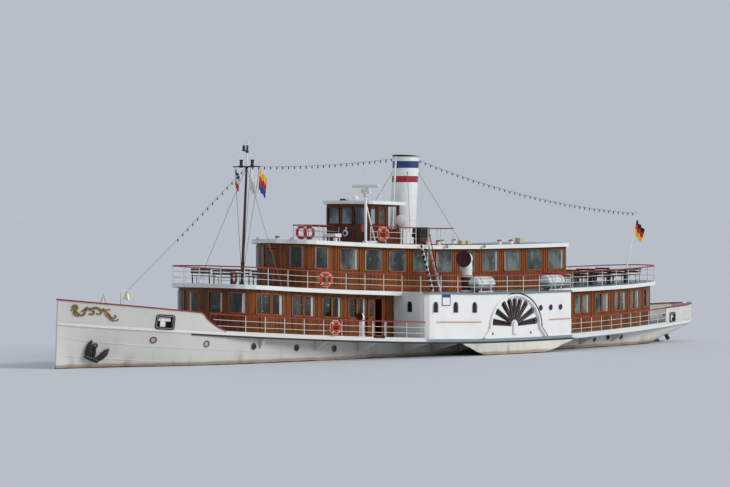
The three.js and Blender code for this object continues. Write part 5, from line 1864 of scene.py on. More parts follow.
@dataclass(frozen=True)
class PaddleBoxTrim:
    """The hood, the fan's edging, arched windows, round windows and wall rails of a paddle box."""

    wall: float = 5.4
    middle: float = -3.2
    openings: tuple[float, ...] = (6, 27, 51, 71, 90)
    fan_reach: Pair = (1.9, 1.43)
    hood_section: Outline = (
        (-0.07, -0.055), (0.055, -0.055), (0.075, -0.03), (0.075, 0.03), (0.055, 0.06), (-0.07, 0.06),
    )
    arches: tuple[float, ...] = (3.35, 1.72, 0.16)
    round_panes: tuple[float, ...] = (-5.44, -6.31, -7.16)
    wall_rails: Outline = ((3.3, -0.35), (-6.15, -8.0))
    sills: Outline = ((3.5, -0.5), (-5.9, -8.1))
    # The sign's stations, then its heights over the waterline
    sign: Outline = ((2.2, 2.84), (2.83, 3.43))
    stars: tuple[float, ...] = (-1.36, -4.58)

    def opening(self, degrees: float, mirror: int, grow: float) -> list[Pair]:
        """The outline of one slot of the fan, drawn a little outside it.

        Args:
            degrees: The slot's angle over the level.
            mirror: 1 forward of the hub, -1 aft.
            grow: How far outside the slot.

        Returns:
            The outline.
        """
        turn = math.radians(degrees)
        along, across = (math.cos(turn), math.sin(turn)), (-math.sin(turn), math.cos(turn))
        reach = 1 / math.hypot(along[0] / self.fan_reach[0], along[1] / self.fan_reach[1])

        def place(far: float, aside: float) -> Pair:
            """A point by its distance from the hub and aside."""
            u = along[0] * far + across[0] * aside
            return (self.middle + mirror * u, 0.73 + along[1] * far + across[1] * aside)

        wide, narrow = 0.12 + grow, 0.036 + grow
        inner, outer = 0.34 - grow, reach + grow
        return [
            place(inner, -narrow), place(outer * 0.965, -wide), place(outer, 0), place(outer * 0.965, wide),
            place(inner, narrow),
        ]

    def on_wall(self, points: Outline, off: float) -> list[Vector]:
        """Points on the box's outer wall, by station and height over the deck."""
        return [at(a, self.wall + off, z) for a, z in points]

    def build(self) -> None:
        """Make the trim on both sides."""
        self.fan()
        self.hood()
        self.windows()
        self.fittings()

    def fan(self) -> None:
        """A black plate behind the slots and black rims in them as painted shade, red edging round them and
        the white hub.
        """
        form = Form(BLACK)
        # Painted shade: a black plate behind the slots for the dark inside of the box
        lining = arc((self.middle, 0.66), 1.98, 0, 180, 24, 1.5)
        form.plate(self.on_wall(lining, -0.12), (0, 0.02, 0))
        for degrees in self.openings:
            for mirror in (1,) if degrees == 90 else (1, -1):
                # The black rims widen each slot's dark as painted shade; the red ones are edging
                for finish, grow, thick in ((BLACK, 0.02, 0.03), (FAN_RED, 0.055, 0.016)):
                    path = self.on_wall(self.opening(degrees, mirror, grow), 0.004)
                    form.use(finish).tube(path, thick, closed=True, up=(0, 1, 0))
        ends = [(self.middle + off, 0.2) for off in (0.17, -0.17)]
        hub = [ends[0], *arc((self.middle, 0.75), 0.17, 0, 180, 12, 0.2), ends[1]]
        form.use(HOUSE_WHITE).plate(self.on_wall(hub, 0.03), (0, 0.07, 0), 0.012)
        form.both_sides().piece("paddle_box_fan")

    def hood(self) -> None:
        """The arch over the fan, with a line of painted shade above its after half."""
        curve = lambda grow: [
            (self.middle + 2.65 + grow, 0.03),
            *arc((self.middle, 0.55), 2.15 + grow, 0, 180, 40, 1.87 + grow),
            (self.middle - 2.65 - grow, 0.03),
        ]
        form = Form(HOUSE_WHITE)
        form.swept(self.on_wall(curve(-0.04), 0.07), self.hood_section)
        # Painted shade: a dark strip beside the after half of the hood only
        form.use(HOOD_SHADE_LINE).swept(self.on_wall(curve(0.07)[19:], 0.04), strip(0.05, 0.1))
        form.both_sides().piece("paddle_box_hood", crease=50)

    def windows(self) -> None:
        """Arched windows with dark panes, and round ones aft."""
        form = Form(HOUSE_WHITE)
        jamb = [(0.22, 1.85), (0.22, 1.43)]
        arch = [(-u, z) for u, z in reversed(jamb)] + arc((0, 1.85), 0.22, 180, 0, 10)[1:-1] + jamb
        for a in self.arches:
            place = lambda points, off, share=1.0: self.on_wall([(a + u * share, z) for u, z in points], off)
            form.use(HOUSE_WHITE).tube(place(arch, 0.0), 0.022, closed=True, up=(0, 1, 0))
            form.use(DARK_PANE).plate(place(arch, -0.06, 0.98), (0, 0.02, 0))
            form.use(BLACK).bar(*place([(0, 1.45), (0, 2.05)], -0.03), 0.025, 0.02)
        form.use(DARK_PANE).block((3.96, 3.88, 1.44), (3.99, 4.32, 2.06))
        pane = [(0, 0.004), (0.15, 0.004), (0.16, 0.02), (0.13, 0.024), (0.12, 0.012), (0, 0.012)]
        for here in self.on_wall([(a, 1.62) for a in self.round_panes], 0.0):
            form.use(BLACK).spun(pane, here, (0, 1, 0), 24)
            form.use(HOUSE_WHITE).ring(here, (0, 1, 0), 0.185, 0.02, 24)
        form.both_sides().piece("paddle_box_windows")

    def fittings(self) -> None:
        """Wall rails, the foot moulding, a blank sign and two small stars."""
        form = Form(PALE_RED)
        for start, end in self.wall_rails:
            form.tube(self.on_wall([(a, 0.95) for a in stations(start, end, 1.0)], 0.06), 0.022, 8)
            for a in stations(start - 0.15, end + 0.15, 0.9):
                form.rod(*self.on_wall([(a, 0.93)], 0.0), *self.on_wall([(a, 0.95)], 0.06), 0.012, 6)
        form.use(HOUSE_WHITE)
        for start, end in self.sills:
            path = self.on_wall([(a, 0.05) for a in stations(start, end, 1.0)], 0.012)
            form.swept(path, strip(0.08, 0.015))
        (aft, fore), levels = self.sign
        low, high = (z - sheer((fore + aft) / 2) for z in levels)
        board = lambda foot: [(aft, foot), (fore, foot), (fore, high), (aft, high)]
        edges = self.on_wall(board(low), 0.015)
        form.use(STEEL)
        for start, end in zip(edges, [*edges[1:], edges[0]]):
            form.bar(start, end, 0.04, 0.03)
        form.use(HOUSE_WHITE).plate(self.on_wall(board(low), 0.004), (0, 0.012, 0))
        form.use(CLOTH_BLUE).plate(self.on_wall(board(high - 0.17), 0.015), (0, 0.006, 0))
        rays = [(0.042 if i % 2 else 0.1, math.pi * i / 5) for i in range(10)]
        for a in self.stars:
            star = [(a + r * math.sin(t), 0.27 + r * math.cos(t)) for r, t in rays]
            form.use(GOLD).plate(self.on_wall(star, 0.002), (0, 0.02, 0))
        form.both_sides().piece("paddle_box_fittings")


@dataclass(frozen=True)
class FunnelDress:
    """The raked funnel with its rim, collar, steam pipe and guys."""

    a: float = 0.22
    radius: float = 0.735
    height: float = 5.0
    rake: float = 0.36
    guy_feet: Outline = ((2.0, 2.3), (2.0, -2.3), (-2.3, 2.3), (-2.3, -2.3))

    def build(self) -> None:
        """Make the funnel in place of the plain one, and its guys."""
        foot = at(self.a, 0, BOAT_DECK)
        axis = Vector((-self.rake, 0, self.height))
        self.shell(foot, axis)
        guys = Form(WIRE)
        for a, b in self.guy_feet:
            head = foot + axis * 0.81 + Vector((a - self.a, b, 0)).normalized() * self.radius
            guys.rod(head, at(a, b, BOAT_DECK + 0.02), 0.012, 5)
            guys.ball(head, 0.04, 1, 8)
        guys.piece("funnel_guys")

    def shell(self, foot: Vector, axis: Vector) -> None:
        """The shell with its seams and dark inside, and the steam pipe before it.

        Args:
            foot: Middle of the foot.
            axis: The way from there to the middle of the top.
        """
        form = Form(FUNNEL_WHITE)
        r, tall = self.radius, axis.length
        rim = [(r + 0.035, tall * 0.985), (r + 0.04, tall * 0.997), (r + 0.02, tall), (r - 0.05, tall)]
        form.spun([(r, 0.0), (r, tall * 0.985), *rim, (r - 0.05, 0.0)], foot, axis, 64)
        collar = ((0.1, 0.01), (0.1, 0.1), (0.06, 0.15), (-0.02, 0.15), (-0.02, 0.01))
        form.spun([(r + off, z) for off, z in collar], foot, axis, 64)
        seam = ((-0.01, -0.04), (0.01, -0.035), (0.01, 0.035), (-0.01, 0.04))
        for share in (0.28, 0.56, 0.9):
            form.spun([(r + off, tall * share + z) for off, z in seam], foot, axis, 64)
        plug = [(0, tall * 0.6), (r - 0.052, tall * 0.6), (r - 0.052, tall * 0.61), (0, tall * 0.61)]
        form.use(BLACK).spun(plug, foot, axis, 32)
        near, far = r - 0.051, r - 0.06
        inside = [(near, tall * 0.7), (near, tall - 0.02), (far, tall - 0.02), (far, tall * 0.7)]
        form.spun(inside, foot, axis, 48)
        pipe = foot + Vector((r + 0.1, 0, 0))
        path = [pipe + axis * share for share in (0.002, 0.3, 0.6, 0.985)]
        form.use(HOUSE_WHITE).tube(path, 0.055, 12, up=(0, 1, 0))
        form.ring(pipe + axis * 0.985, axis, 0.05, 0.02, 16)
        for share in (0.25, 0.5, 0.75):
            form.rod(pipe + axis * share, pipe + axis * share - Vector((0.12, 0, 0)), 0.02, 6)
        form.piece("funnel_shell", stands_for=("funnel",))


@dataclass(frozen=True)
class MastDress:
    """The mast with its yard, lamps and wires, and the strings of lamps over the ship."""

    a: float = 12.8
    rake: float = 0.44
    height: float = 7.75
    yard: float = 6.36
    shroud_feet: Outline = ((13.0, 3.18), (13.0, -3.18))
    halyards: tuple[float, ...] = (0.98, 0.32, -0.89)
    lamp_pitch: float = 0.46

    def up(self, z: float, b: float = 0.0) -> Vector:
        """A point on the mast at a height over the promenade."""
        return at(self.a, b, PROMENADE + z) + Vector((-self.rake * z / self.height, 0, 0))

    def build(self) -> None:
        """Make the mast, the wires and the lamp strings."""
        form = Form(MAST_WOOD)
        yard = self.yard
        form.rod(self.up(0.005), self.up(yard), 0.09, 20, 0.058)
        form.rod(self.up(7.1), self.up(7.5), 0.06, 20, 0.055)
        for side in (-1, 1):
            form.rod(self.up(yard, 1.03 * side), self.up(yard), 0.03, 10, 0.042)
        form.use(TRIM_WHITE).rod(self.up(yard), self.up(self.height), 0.056, 20, 0.045)
        form.use(BLACK).rod(self.up(0.005), self.up(0.2), 0.16, 20, 0.13)
        for z in (1.2, yard - 0.05, 7.15):
            form.rod(self.up(z - 0.04), self.up(z + 0.04), 0.095, 16)
        for b in (-0.42, 0.42):
            foot, low, high, head = (self.up(yard + z, b) for z in (-0.05, 0.07, 0.25, 0.37))
            form.use(BLACK).rod(foot, low, 0.11, 16).rod(high, head, 0.08, 16, 0.11)
            form.use(BULB).rod(low, high, 0.085, 16)
        arm = self.up(7.2)
        lamp = arm + Vector((0.25, 0, 0))
        form.use(BLACK).bar(arm, arm + Vector((0.3, 0, 0)), 0.06, 0.05, UP).post(lamp, 0, 0.07, 0.1, 16)
        form.use(BULB).post(lamp, 0.07, 0.24, 0.075, 16)
        form.use(BLACK).post(lamp, 0.24, 0.3, 0.09, 16, 0.04)
        form.use(TRIM_WHITE).ball(self.up(self.height - 0.03), 0.07, 0.7, 12)
        form.piece("mast_spar", stands_for=("mast",))
        self.wires()
        self.lamp_strings()

    def wires(self) -> None:
        """A shroud on each side and the halyards."""
        form = Form(WIRE)
        for a, b in self.shroud_feet:
            form.rod(self.up(self.yard), at(a, b, PROMENADE + 0.02), 0.012, 5)
        for b in self.halyards:
            form.rod(self.up(self.yard, b), self.up(0.95, b * 0.12), 0.012, 5)
        form.piece("mast_rigging")

    def lamp_strings(self) -> None:
        """Sagging strings of small lamps from the bow to the flagstaff, unlit near the bell."""
        form = Form(WIRE)
        bell, head = at(21.1, 0, 1.86), self.up(self.yard)
        funnel = at(0.22, 0, BOAT_DECK) + Vector((-0.34, 0, 4.85))
        staff = at(-19.6, 0, PROMENADE) + Vector((-1.27, 0, 4.1))
        aside = Vector((0.72, 0, 0))
        strings = (
            (head, bell, 0.03, 0.62), (head, funnel + aside, 0.16, 1.0), (funnel - aside, staff, 0.55, 1.0),
        )
        for start, end, sag, lit in strings:
            count = round((end - start).length / self.lamp_pitch)
            shares = [i / count for i in range(count + 1)]
            path = [start.lerp(end, t) - UP * (4 * sag * t * (1 - t)) for t in shares]
            form.use(WIRE).tube(path, 0.012, 5, up=(0, 1, 0))
            for p in path[1 : round(len(path) * lit) - 1]:
                form.use(BLACK).rod(p, p - UP * 0.07, 0.028)
                form.use(BULB).ball(p - UP * 0.1, 0.04, 1.2, 8)
        form.piece("lamp_strings")


@dataclass(frozen=True)
class Lifebuoys:
    """Orange rings with white bands, hung on the rails."""

    places: tuple[tuple[float, float, float, Point], ...] = (
        (4.47, 2.53, BOAT_DECK + 0.52, (0.22, 1, 0)), (9.98, 3.48, PROMENADE + 0.5, (0.42, 1, 0)),
        (10.2, 4.42, 0.5, (0.05, 1, 0)), (9.98, -3.48, PROMENADE + 0.5, (0.42, -1, 0)),
        (10.2, -4.42, 0.5, (0.05, -1, 0)), (6.52, -1.7, BOAT_DECK + 0.52, (1, 0.15, 0)),
        (6.27, -1.35, BOAT_DECK + 0.52, (1, 0.15, 0)),
    )
    radius: float = 0.3

    def build(self) -> None:
        """Make every ring in one form."""
        form = Form(BUOY_ORANGE)
        for a, b, height, way in self.places:
            out = Vector(way).normalized()
            aside = UP.cross(out).normalized()
            centre = at(a, b, height)
            form.use(BUOY_ORANGE).ring(centre, out, self.radius, 0.075, 40, 12)
            spot = lambda turn, reach: centre + (aside * math.cos(turn) + UP * math.sin(turn)) * reach
            form.use(HOUSE_WHITE)
            for quarter in range(4):
                turn = math.pi / 4 + math.pi / 2 * quarter
                form.tube([spot(turn + t, self.radius) for t in (-0.06, 0, 0.06)], 0.081, 12, up=out)
            rope = [spot(math.pi * k / 8, self.radius + (0.11 if k % 2 else 0.08)) for k in range(16)]
            form.tube(rope, 0.011, 5, closed=True, up=out)
        form.piece("lifebuoys")


@dataclass(frozen=True)
class Rafts:
    """Life-raft canisters on their cradles."""

    places: Pair = (-1.01, -7.05)
    b: float = 4.9
    end: Outline = ((0, 0.74), (0.22, 0.74), (0.32, 0.72), (0.375, 0.67), (0.39, 0.6))
    strap: Outline = ((0.38, -0.04), (0.408, -0.04), (0.408, 0.04), (0.38, 0.04))

    def build(self) -> None:
        """Make the canisters on both sides."""
        form = Form(CANISTER)
        ribs = [(0.4 if i % 2 else 0.382, -0.56 + 0.08 * i) for i in range(15)]
        shell = [*[(r, -d) for r, d in self.end], *ribs, *reversed(self.end)]
        b, wide = self.b, 0.41
        for a in self.places:
            foot, middle = at(a, b, PROMENADE), at(a, b, PROMENADE + 0.49)
            form.use(CANISTER).spun(shell, middle, (1, 0, 0), 32)
            form.block((a - 0.7, b - wide, PROMENADE + 0.45), (a + 0.7, b + wide, PROMENADE + 0.51), 0.015)
            for d in (-0.4, 0.4):
                here = foot + Vector((d, 0, 0))
                form.use(STRAP).spun([(r, d + z) for r, z in self.strap], middle, (1, 0, 0), 32)
                form.use(RAIL_WHITE).bar(here + UP * 0.1, here + UP * 0.18, 0.08, 0.62)
                for side in (-0.3, 0.3):
                    leg = [here + Vector((0, side * share, z)) for share, z in ((1, 0.03), (0.95, 0.3))]
                    form.rod(*leg, 0.03)
            for side in (-0.28, 0.28):
                ends = [foot + Vector((u, side, 0.045)) for u in (-0.6, 0.6)]
                form.bar(*ends, 0.07, 0.07, UP, 0.008)
        nodes = [f"life_raft_{end}_{word}" for end in ("fore", "aft") for word in ("port", "starboard")]
        form.both_sides().piece("raft_canisters", stands_for=nodes)


@dataclass(frozen=True)
class Cowls:
    """Ventilators with maroon mouths, two large and two small."""

    # Radius and distance along the mouth's axis. The back goes with the trunk, the others with the mouth
    back: Outline = ((0, -0.3), (0.2, -0.25), (0.33, 0))
    bell: Outline = ((0.37, 0.12), (0.41, 0.27), (0.44, 0.4), (0.462, 0.415), (0.455, 0.43))
    lining: Outline = (
        (0.2, 0.34), (0.4, 0.41), (0.45, 0.425), (0.466, 0.432), (0.466, 0.445), (0.43, 0.445), (0.3, 0.39),
        (0.16, 0.365),
    )

    def cowl(
        self, form: Form, foot: Vector, trunk: float, mouth: float, height: float, boot: float, way: Point
    ) -> None:
        """One ventilator.

        Args:
            form: Where it is made.
            foot: Middle of its foot.
            trunk: Radius of the trunk.
            mouth: Radius of the mouth.
            height: Height of the mouth's middle.
            boot: Height of the maroon boot.
            way: The direction that the mouth faces.
        """
        k, m = trunk / 0.29, mouth / 0.45
        top = foot + UP * height
        form.use(HOUSE_WHITE).post(foot, 0.01, height - 0.02, trunk, 32).ball(top, trunk * 1.1, 1.0, 32)
        (_, end), (near, rear), (wide, _) = self.back
        back = [(0, end * k), (near * k, rear * k), (wide * k, -0.05)]
        form.spun([*back, *[(r * m, z * k) for r, z in self.bell], (0, 0.0)], top, way, 48)
        lining = [(0, 0.3 * k), *[(r * m, z * k) for r, z in self.lining], (0, 0.355 * k)]
        form.use(MAROON).spun(lining, top, way, 48).post(foot, 0.012, boot, trunk + 0.018, 32)
        form.use(HOUSE_WHITE).post(foot, 0.01, 0.12, trunk + 0.07, 32, trunk + 0.03)
        form.ring(foot + UP * (height - 0.55 * k), UP, trunk + 0.005, 0.018 * k, 32)
        form.ring(foot + UP * boot, UP, trunk + 0.015, 0.02 * k, 32)

    def build(self) -> None:
        """Make the ventilators on both sides."""
        form = Form(HOUSE_WHITE)
        self.cowl(form, at(-0.9, 3.9, PROMENADE), 0.29, 0.45, 1.85, 0.86, (0.96, 0.28, 0))
        form.both_sides().piece("large_cowls", stands_for=("vent_cowl_port", "vent_cowl_starboard"))
        form = Form(HOUSE_WHITE)
        self.cowl(form, at(7.75, 4.05), 0.13, 0.24, 1.12, 0.08, (1, 0, 0))
        form.both_sides().piece("small_cowls")


@dataclass(frozen=True)
class Anchors:
    """Dark anchors that lie against the bow."""

    # Outlines by station and height over the waterline
    arms: tuple[Outline, ...] = (
        (
            (24.46, 1.46), (24.62, 1.22), (24.7, 0.87), (24.63, 0.6), (24.47, 0.5), (24.38, 0.6),
            (24.41, 0.8), (24.38, 1.08),
        ),
        (
            (24.02, 0.3), (23.72, 0.47), (23.57, 0.66), (23.52, 0.99), (23.66, 0.95), (23.82, 0.81),
            (23.98, 0.61), (24.2, 0.5), (24.3, 0.4),
        ),
    )

    def place(self, a: float, z: float, off: float) -> Vector:
        """A point off the bow's plating."""
        return on_hull(a - 0.22, z, 0.04 + off)

    def build(self) -> None:
        """Make the anchor on both sides."""
        form = Form(BLACK)
        for outline in self.arms:
            form.plate([self.place(a, z, 0.02) for a, z in outline], (0.02, 0.13, -0.02), 0.018)
        crown = [self.place(*p) for p in ((24.7, 0.62, 0.1), (24.37, 0.47, 0.16), (24.02, 0.34, 0.12))]
        shank = [self.place(*p) for p in ((24.3, 0.5, 0.14), (24.26, 0.82, 0.12), (24.25, 1.12, 0.06))]
        form.tube(crown, 0.1, 12, up=(0, 1, 0)).tube(shank, 0.095, 12, up=(0, 1, 0))
        form.ring(self.place(24.25, 1.14, 0.1), (0.2, 1, -0.2), 0.1, 0.045, 20)
        form.ball(self.place(24.3, 0.46, 0.14), 0.14, 0.9, 16)
        form.both_sides().piece("bow_anchors", stands_for=("anchor_port", "anchor_starboard"), crease=60)


@dataclass(frozen=True)
class BowGear:
    """The bell on its davit, the frame over the windlass and its cover."""

    # Reach forward and height of the davit's hook, then the bell's radius and height
    hook: Outline = ((0, 1.45), (0, 1.62), (-0.06, 1.78), (-0.2, 1.87), (-0.34, 1.86), (-0.42, 1.77))
    bell: Outline = (
        (0, 1.76), (0.04, 1.76), (0.07, 1.72), (0.1, 1.68), (0.12, 1.6), (0.15, 1.52), (0.2, 1.44),
        (0.205, 1.42), (0.18, 1.42), (0.12, 1.53), (0, 1.66),
    )

    def build(self) -> None:
        """Make the gear on the foredeck."""
        form = Form(RAIL_WHITE)
        foot = at(21.5, 0)
        form.post(foot, 0.01, 1.52, 0.05, 16).post(foot, 0.01, 0.08, 0.14, 20)
        hook = smooth_path([foot + Vector((a, 0, z)) for a, z in self.hook], 4)
        form.tube(hook, 0.042, 12, up=(0, 1, 0))
        bell = foot + Vector((-0.4, 0, 0))
        form.use(PALE_GOLD).spun(self.bell, bell, UP, 32)
        form.use(BLACK).ball(bell + UP * 1.42, 0.045, 1, 12)
        form.piece("bow_bell", stands_for=("bell_davit",))
        form = Form(RAIL_WHITE)
        top = at(22.7, 0, 1.6)
        for a, b in ((23.3, 0.35), (23.3, -0.35), (22.2, 0)):
            form.rod(at(a, b, 0.01), top, 0.028)
        form.ball(top, 0.06, 1, 10)
        for ends in ((-0.98, -0.95), (0.95, 0.98)):
            form.rod(*[at(22.9, b, 0.45) for b in ends], 0.29, 20)
        form.use(BUOY_ORANGE).block((22.2, -0.4, 0.86), (23.4, 0.4, 1.06), 0.05)
        form.use(HOUSE_WHITE).block((22.15, -0.42, 0.8), (23.45, 0.42, 0.88), 0.02)
        form.use(RAIL_WHITE)
        for a in (22.3, 23.3):
            for b in (-0.34, 0.34):
                form.post(at(a, b), 0.01, 0.82, 0.03)
        form.piece("bow_gear")


@dataclass(frozen=True)
class DeckFittings:
    """Boxes, vents and lamps on the boat deck and the bridge, benches, tables and stairs."""

    # Places by station and half-breadth
    vents: Outline = ((7.9, 2.2), (0.55, 2.28), (-0.39, 2.2), (-5.6, 2.2), (-6.6, 2.2))
    vent_cap: Outline = ((0, 0.2), (0.15, 0.2), (0.14, 0.24), (0.08, 0.28), (0, 0.29))
    lamps: tuple[Triple, ...] = (
        (-0.64, 2.56, -0.05), (-3.8, 2.56, -0.05), (10.3, 1.2, 0.06),
    )
    # Station, half-breadth and height of each whip
    aerials: tuple[Triple, ...] = (
        (4.6, -1.5, 2.6), (4.4, -0.2, 0.9), (4.3, 1.0, 1.9), (3.27, 1.2, 2.1), (2.6, 0.6, 0.7),
        (2.6, -1.2, 1.4),
    )
    lantern: Outline = ((0, 0), (0.17, 0), (0.19, 0.04), (0.19, 0.1), (0.15, 0.13), (0, 0.13))
    lens: Outline = ((0, 0.125), (0.11, 0.125), (0.1, 0.145), (0, 0.15))
    search_rim: Outline = (
        (0, 0.05), (0.3, 0.05), (0.31, 0.1), (0.31, 0.24), (0.27, 0.27), (0, 0.29),
    )
    horn: Outline = (
        (0, 0), (0.03, 0), (0.035, 0.2), (0.1, 0.42), (0.085, 0.42), (0.02, 0.2), (0, 0.18),
    )
    roof: Outline = ((4.97, 0), (4.92, 0.91), (4.74, 1.72), (4.56, 1.85), (1.95, 1.85))
    gearbox: Outline = (
        (0, -0.5), (0.08, -0.5), (0.11, -0.49), (0.13, -0.42), (0.1, -0.34), (0.2, -0.28), (0.26, -0.2),
        (0.275, -0.13), (0.24, -0.06), (0.15, -0.01), (0, -0.008),
    )

    def build(self) -> None:
        """Make the fittings."""
        self.boxes()
        self.roof_fittings()
        self.bridge()
        self.radar()
        self.benches()
        self.stairs()

    def boxes(self) -> None:
        """The locker, the bench before the bridge, the beige boxes and the covered box."""
        form = Form(HOUSE_WHITE)

        def box(
            fore: float, aft: float, inner: float, outer: float, low: float, high: float, bevel: float
        ) -> None:
            """One block between stations, half-breadths and heights over the boat deck."""
            form.block((aft, inner, BOAT_DECK + low), (fore, outer, BOAT_DECK + high), bevel)

        box(2.15, 1.45, 1.3, 1.9, 0.01, 0.72, 0.03)
        box(2.18, 1.42, 1.27, 1.93, 0.7, 0.78, 0.02)
        for a in (1.68, 1.92):
            form.bar(at(a, 1.905, BOAT_DECK + 0.1), at(a, 1.905, BOAT_DECK + 0.64), 0.03, 0.02)
        box(6.85, 6.35, 0.2, 1.2, 0.27, 0.46, 0.02)
        for a in (6.42, 6.78):
            for b in (0.3, 1.1):
                form.bar(at(a, b, BOAT_DECK + 0.01), at(a, b, BOAT_DECK + 0.28), 0.05, 0.05)
        form.use(BOX_BEIGE)
        box(-8.3, -8.7, 1.0, 1.4, 0.01, 0.34, 0.03)
        for a in (-4.2, -3.7):
            box(a + 0.36, a, 1.0, 1.34, 0.01, 0.26, 0.03)
        form.use(BENCH_WOOD)
        box(0.9, 0.2, 1.5, 2.04, 0.01, 0.5, 0.02)
        form.use(COVER)
        box(1.0, 0.1, 1.44, 2.08, 0.46, 0.98, 0.09)
        box(1.02, 0.08, 1.42, 2.1, 0.44, 0.6, 0.04)
        form.piece("deck_boxes")

    def roof_fittings(self) -> None:
        """Small mushroom vents and flood lamps at the boat deck's edges."""
        form = Form(HOUSE_WHITE)
        for side in (1, -1):
            for a, b in self.vents:
                foot = at(a, b * side, BOAT_DECK)
                form.use(HOUSE_WHITE).post(foot, 0.005, 0.2, 0.12, 20)
                form.use(BUOY_ORANGE if side > 0 else RAIL_RED).spun(self.vent_cap, foot, UP, 20)
            for a, b, height in self.lamps:
                here = at(a, b * side, BOAT_DECK + height)
                form.use(RAIL_WHITE).rod(here, here + Vector((0, 0.05 * side, 0.02)), 0.03)
                back, front = here + Vector((0, 0.03 * side, 0)), here + Vector((0.06, 0.13 * side, -0.04))
                form.use(STRAP).rod(back, front, 0.05, 12, 0.1)
        form.piece("deck_vents")

    def bridge(self) -> None:
        """Lantern, extinguisher, search lamps, horns, whip aerials and roof edge of the wheelhouse."""
        form = Form(HOUSE_WHITE)
        lantern = at(4.72, 0.0, BOAT_DECK + 0.55)
        form.spun(self.lantern, lantern, (1, 0, 0), 28).post(lantern, 0.2, 0.34, 0.05, 12)
        form.use(DARK_PANE).spun(self.lens, lantern, (1, 0, 0), 24)
        bottle = at(5.02, 1.5, BOAT_DECK)
        form.use(BUOY_ORANGE).post(bottle, 0.62, 0.98, 0.065, 16).ball(bottle + UP * 0.98, 0.065, 0.8, 12)
        form.use(BLACK).post(bottle, 1.0, 1.06, 0.025)
        form.bar(at(4.86, 1.5, BOAT_DECK + 0.7), at(5.02, 1.5, BOAT_DECK + 0.7), 0.04, 0.03, UP)
        for side in (1, -1):
            foot, way = at(2.41, 1.98 * side, BOAT_DECK), Vector((0.8, 0.6 * side, 0))
            lamp = foot + UP * 1.32
            form.use(RAIL_WHITE).ball(lamp, 0.3, 1.0, 28).spun(self.search_rim, lamp, way, 32)
            form.use(STRAP).ring(lamp + way * 0.25, way, 0.23, 0.018, 28)
            form.use(RAIL_WHITE).post(foot, 0.01, 1.32, 0.04, 12)
            arm = [at(2.41, b * side, BOAT_DECK + 0.7) for b in (1.74, 1.98)]
            form.bar(*arm, 0.06, 0.06, UP)
        roof = BOAT_DECK + 2.3
        dome, mushroom = at(4.45, 0.45, roof), at(3.0, 0.9, roof)
        form.use(HOUSE_WHITE).post(dome, -0.005, 0.18, 0.06, 12).ball(dome + UP * 0.18, 0.15, 1.0, 20)
        form.rod(dome + UP * 0.28, dome + Vector((-0.06, 0, 0.6)), 0.015, 6)
        form.post(mushroom, -0.005, 0.3, 0.035, 10).ball(mushroom + UP * 0.32, 0.09, 0.5, 14)
        form.use(RAIL_WHITE)
        for a, b, tall in self.aerials:
            foot = at(a, b, roof)
            form.post(foot, -0.005, 0.14, 0.03).post(foot, 0.14, tall, 0.014, 6, 0.006)
        form.use(BLACK)
        for b in (-0.5, -0.3):
            form.spun(self.horn, at(4.2, b, roof + 0.08), (1, 0, 0), 20)
        form.bar(at(4.3, -0.6, roof + 0.02), at(4.3, -0.2, roof + 0.02), 0.08, 0.05, UP)
        form.piece("bridge_fittings")
        form = Form(HOUSE_WHITE)
        edge = [at(a, b, BOAT_DECK + 2.25) for a, b in mirrored(self.roof)]
        form.swept(edge, strip(0.18, 0.03), closed=True)
        form.piece("bridge_roof_edge")

    def radar(self) -> None:
        """The turning bar of the radar, and the round gearbox under it."""
        low, high = (p / MODEL_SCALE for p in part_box("radar_scanner"))
        middle, level = (low + high) / 2, high.z - 0.1
        foot = Vector((middle.x, middle.y, low.z))
        form = Form(HOUSE_WHITE)
        form.bar((middle.x, low.y, level), (middle.x, high.y, level), 0.17, 0.15, (1, 0, 0), 0.04)
        form.post(foot, 0, level - low.z, 0.06, 16)
        form.piece("radar_bar", "radar_scanner", ("radar_scanner",))
        Form(RAIL_WHITE).spun(self.gearbox, foot, UP, 32).piece("radar_gearbox")

    def bench(self, form: Form, a: float, b: float, long: float, back: float) -> None:
        """One slatted bench.

        Args:
            form: Where it is made.
            a: Station of its seat.
            b: Half-breadth of its middle.
            long: Its length.
            back: How far forward of the seat its back stands.
        """
        ends = [b - long / 2, b + long / 2]
        form.use(BENCH_WOOD)
        for k in range(3):
            form.bar(*[at(a - 0.14 + 0.13 * k, end, PROMENADE + 0.45) for end in ends], 0.11, 0.035, UP)
        for k in range(2):
            slat = [at(a + back, end, PROMENADE + 0.62 + 0.16 * k) for end in ends]
            form.bar(*slat, 0.11, 0.03, (1, 0, 0))
        form.use(BLACK)
        for end in (ends[0] + 0.1, ends[1] - 0.1):
            for foot, tall in ((-0.14, 0.44), (0.16, 0.44), (back, 0.82)):
                form.post(at(a + foot, end, PROMENADE), 0.005, tall, 0.02, 6)

    def benches(self) -> None:
        """Slatted benches with tables on the aft promenade, and benches forward."""
        form = Form(BENCH_WOOD)
        for a in (-13.3, -15.0, -16.7, -18.3):
            long = 1.5 if a > -17.5 else 1.1
            for b in (1.2, -1.2):
                self.bench(form, a - 0.52, b, long, -0.2)
                self.bench(form, a + 0.52, b, long, 0.2)
                low = (a - 0.24, b - long / 2, PROMENADE + 0.7)
                high = (a + 0.24, b + long / 2, PROMENADE + 0.74)
                form.use(BENCH_WOOD).block(low, high, 0.01)
                foot = at(a, b, PROMENADE)
                form.use(BLACK).post(foot, 0.005, 0.7, 0.035, 10).post(foot, 0.005, 0.03, 0.2, 16)
        for a in (14.2, 12.6):
            for b in (1.5, -1.5):
                self.bench(form, a, b, 1.5, 0.2)
        form.piece("deck_benches")

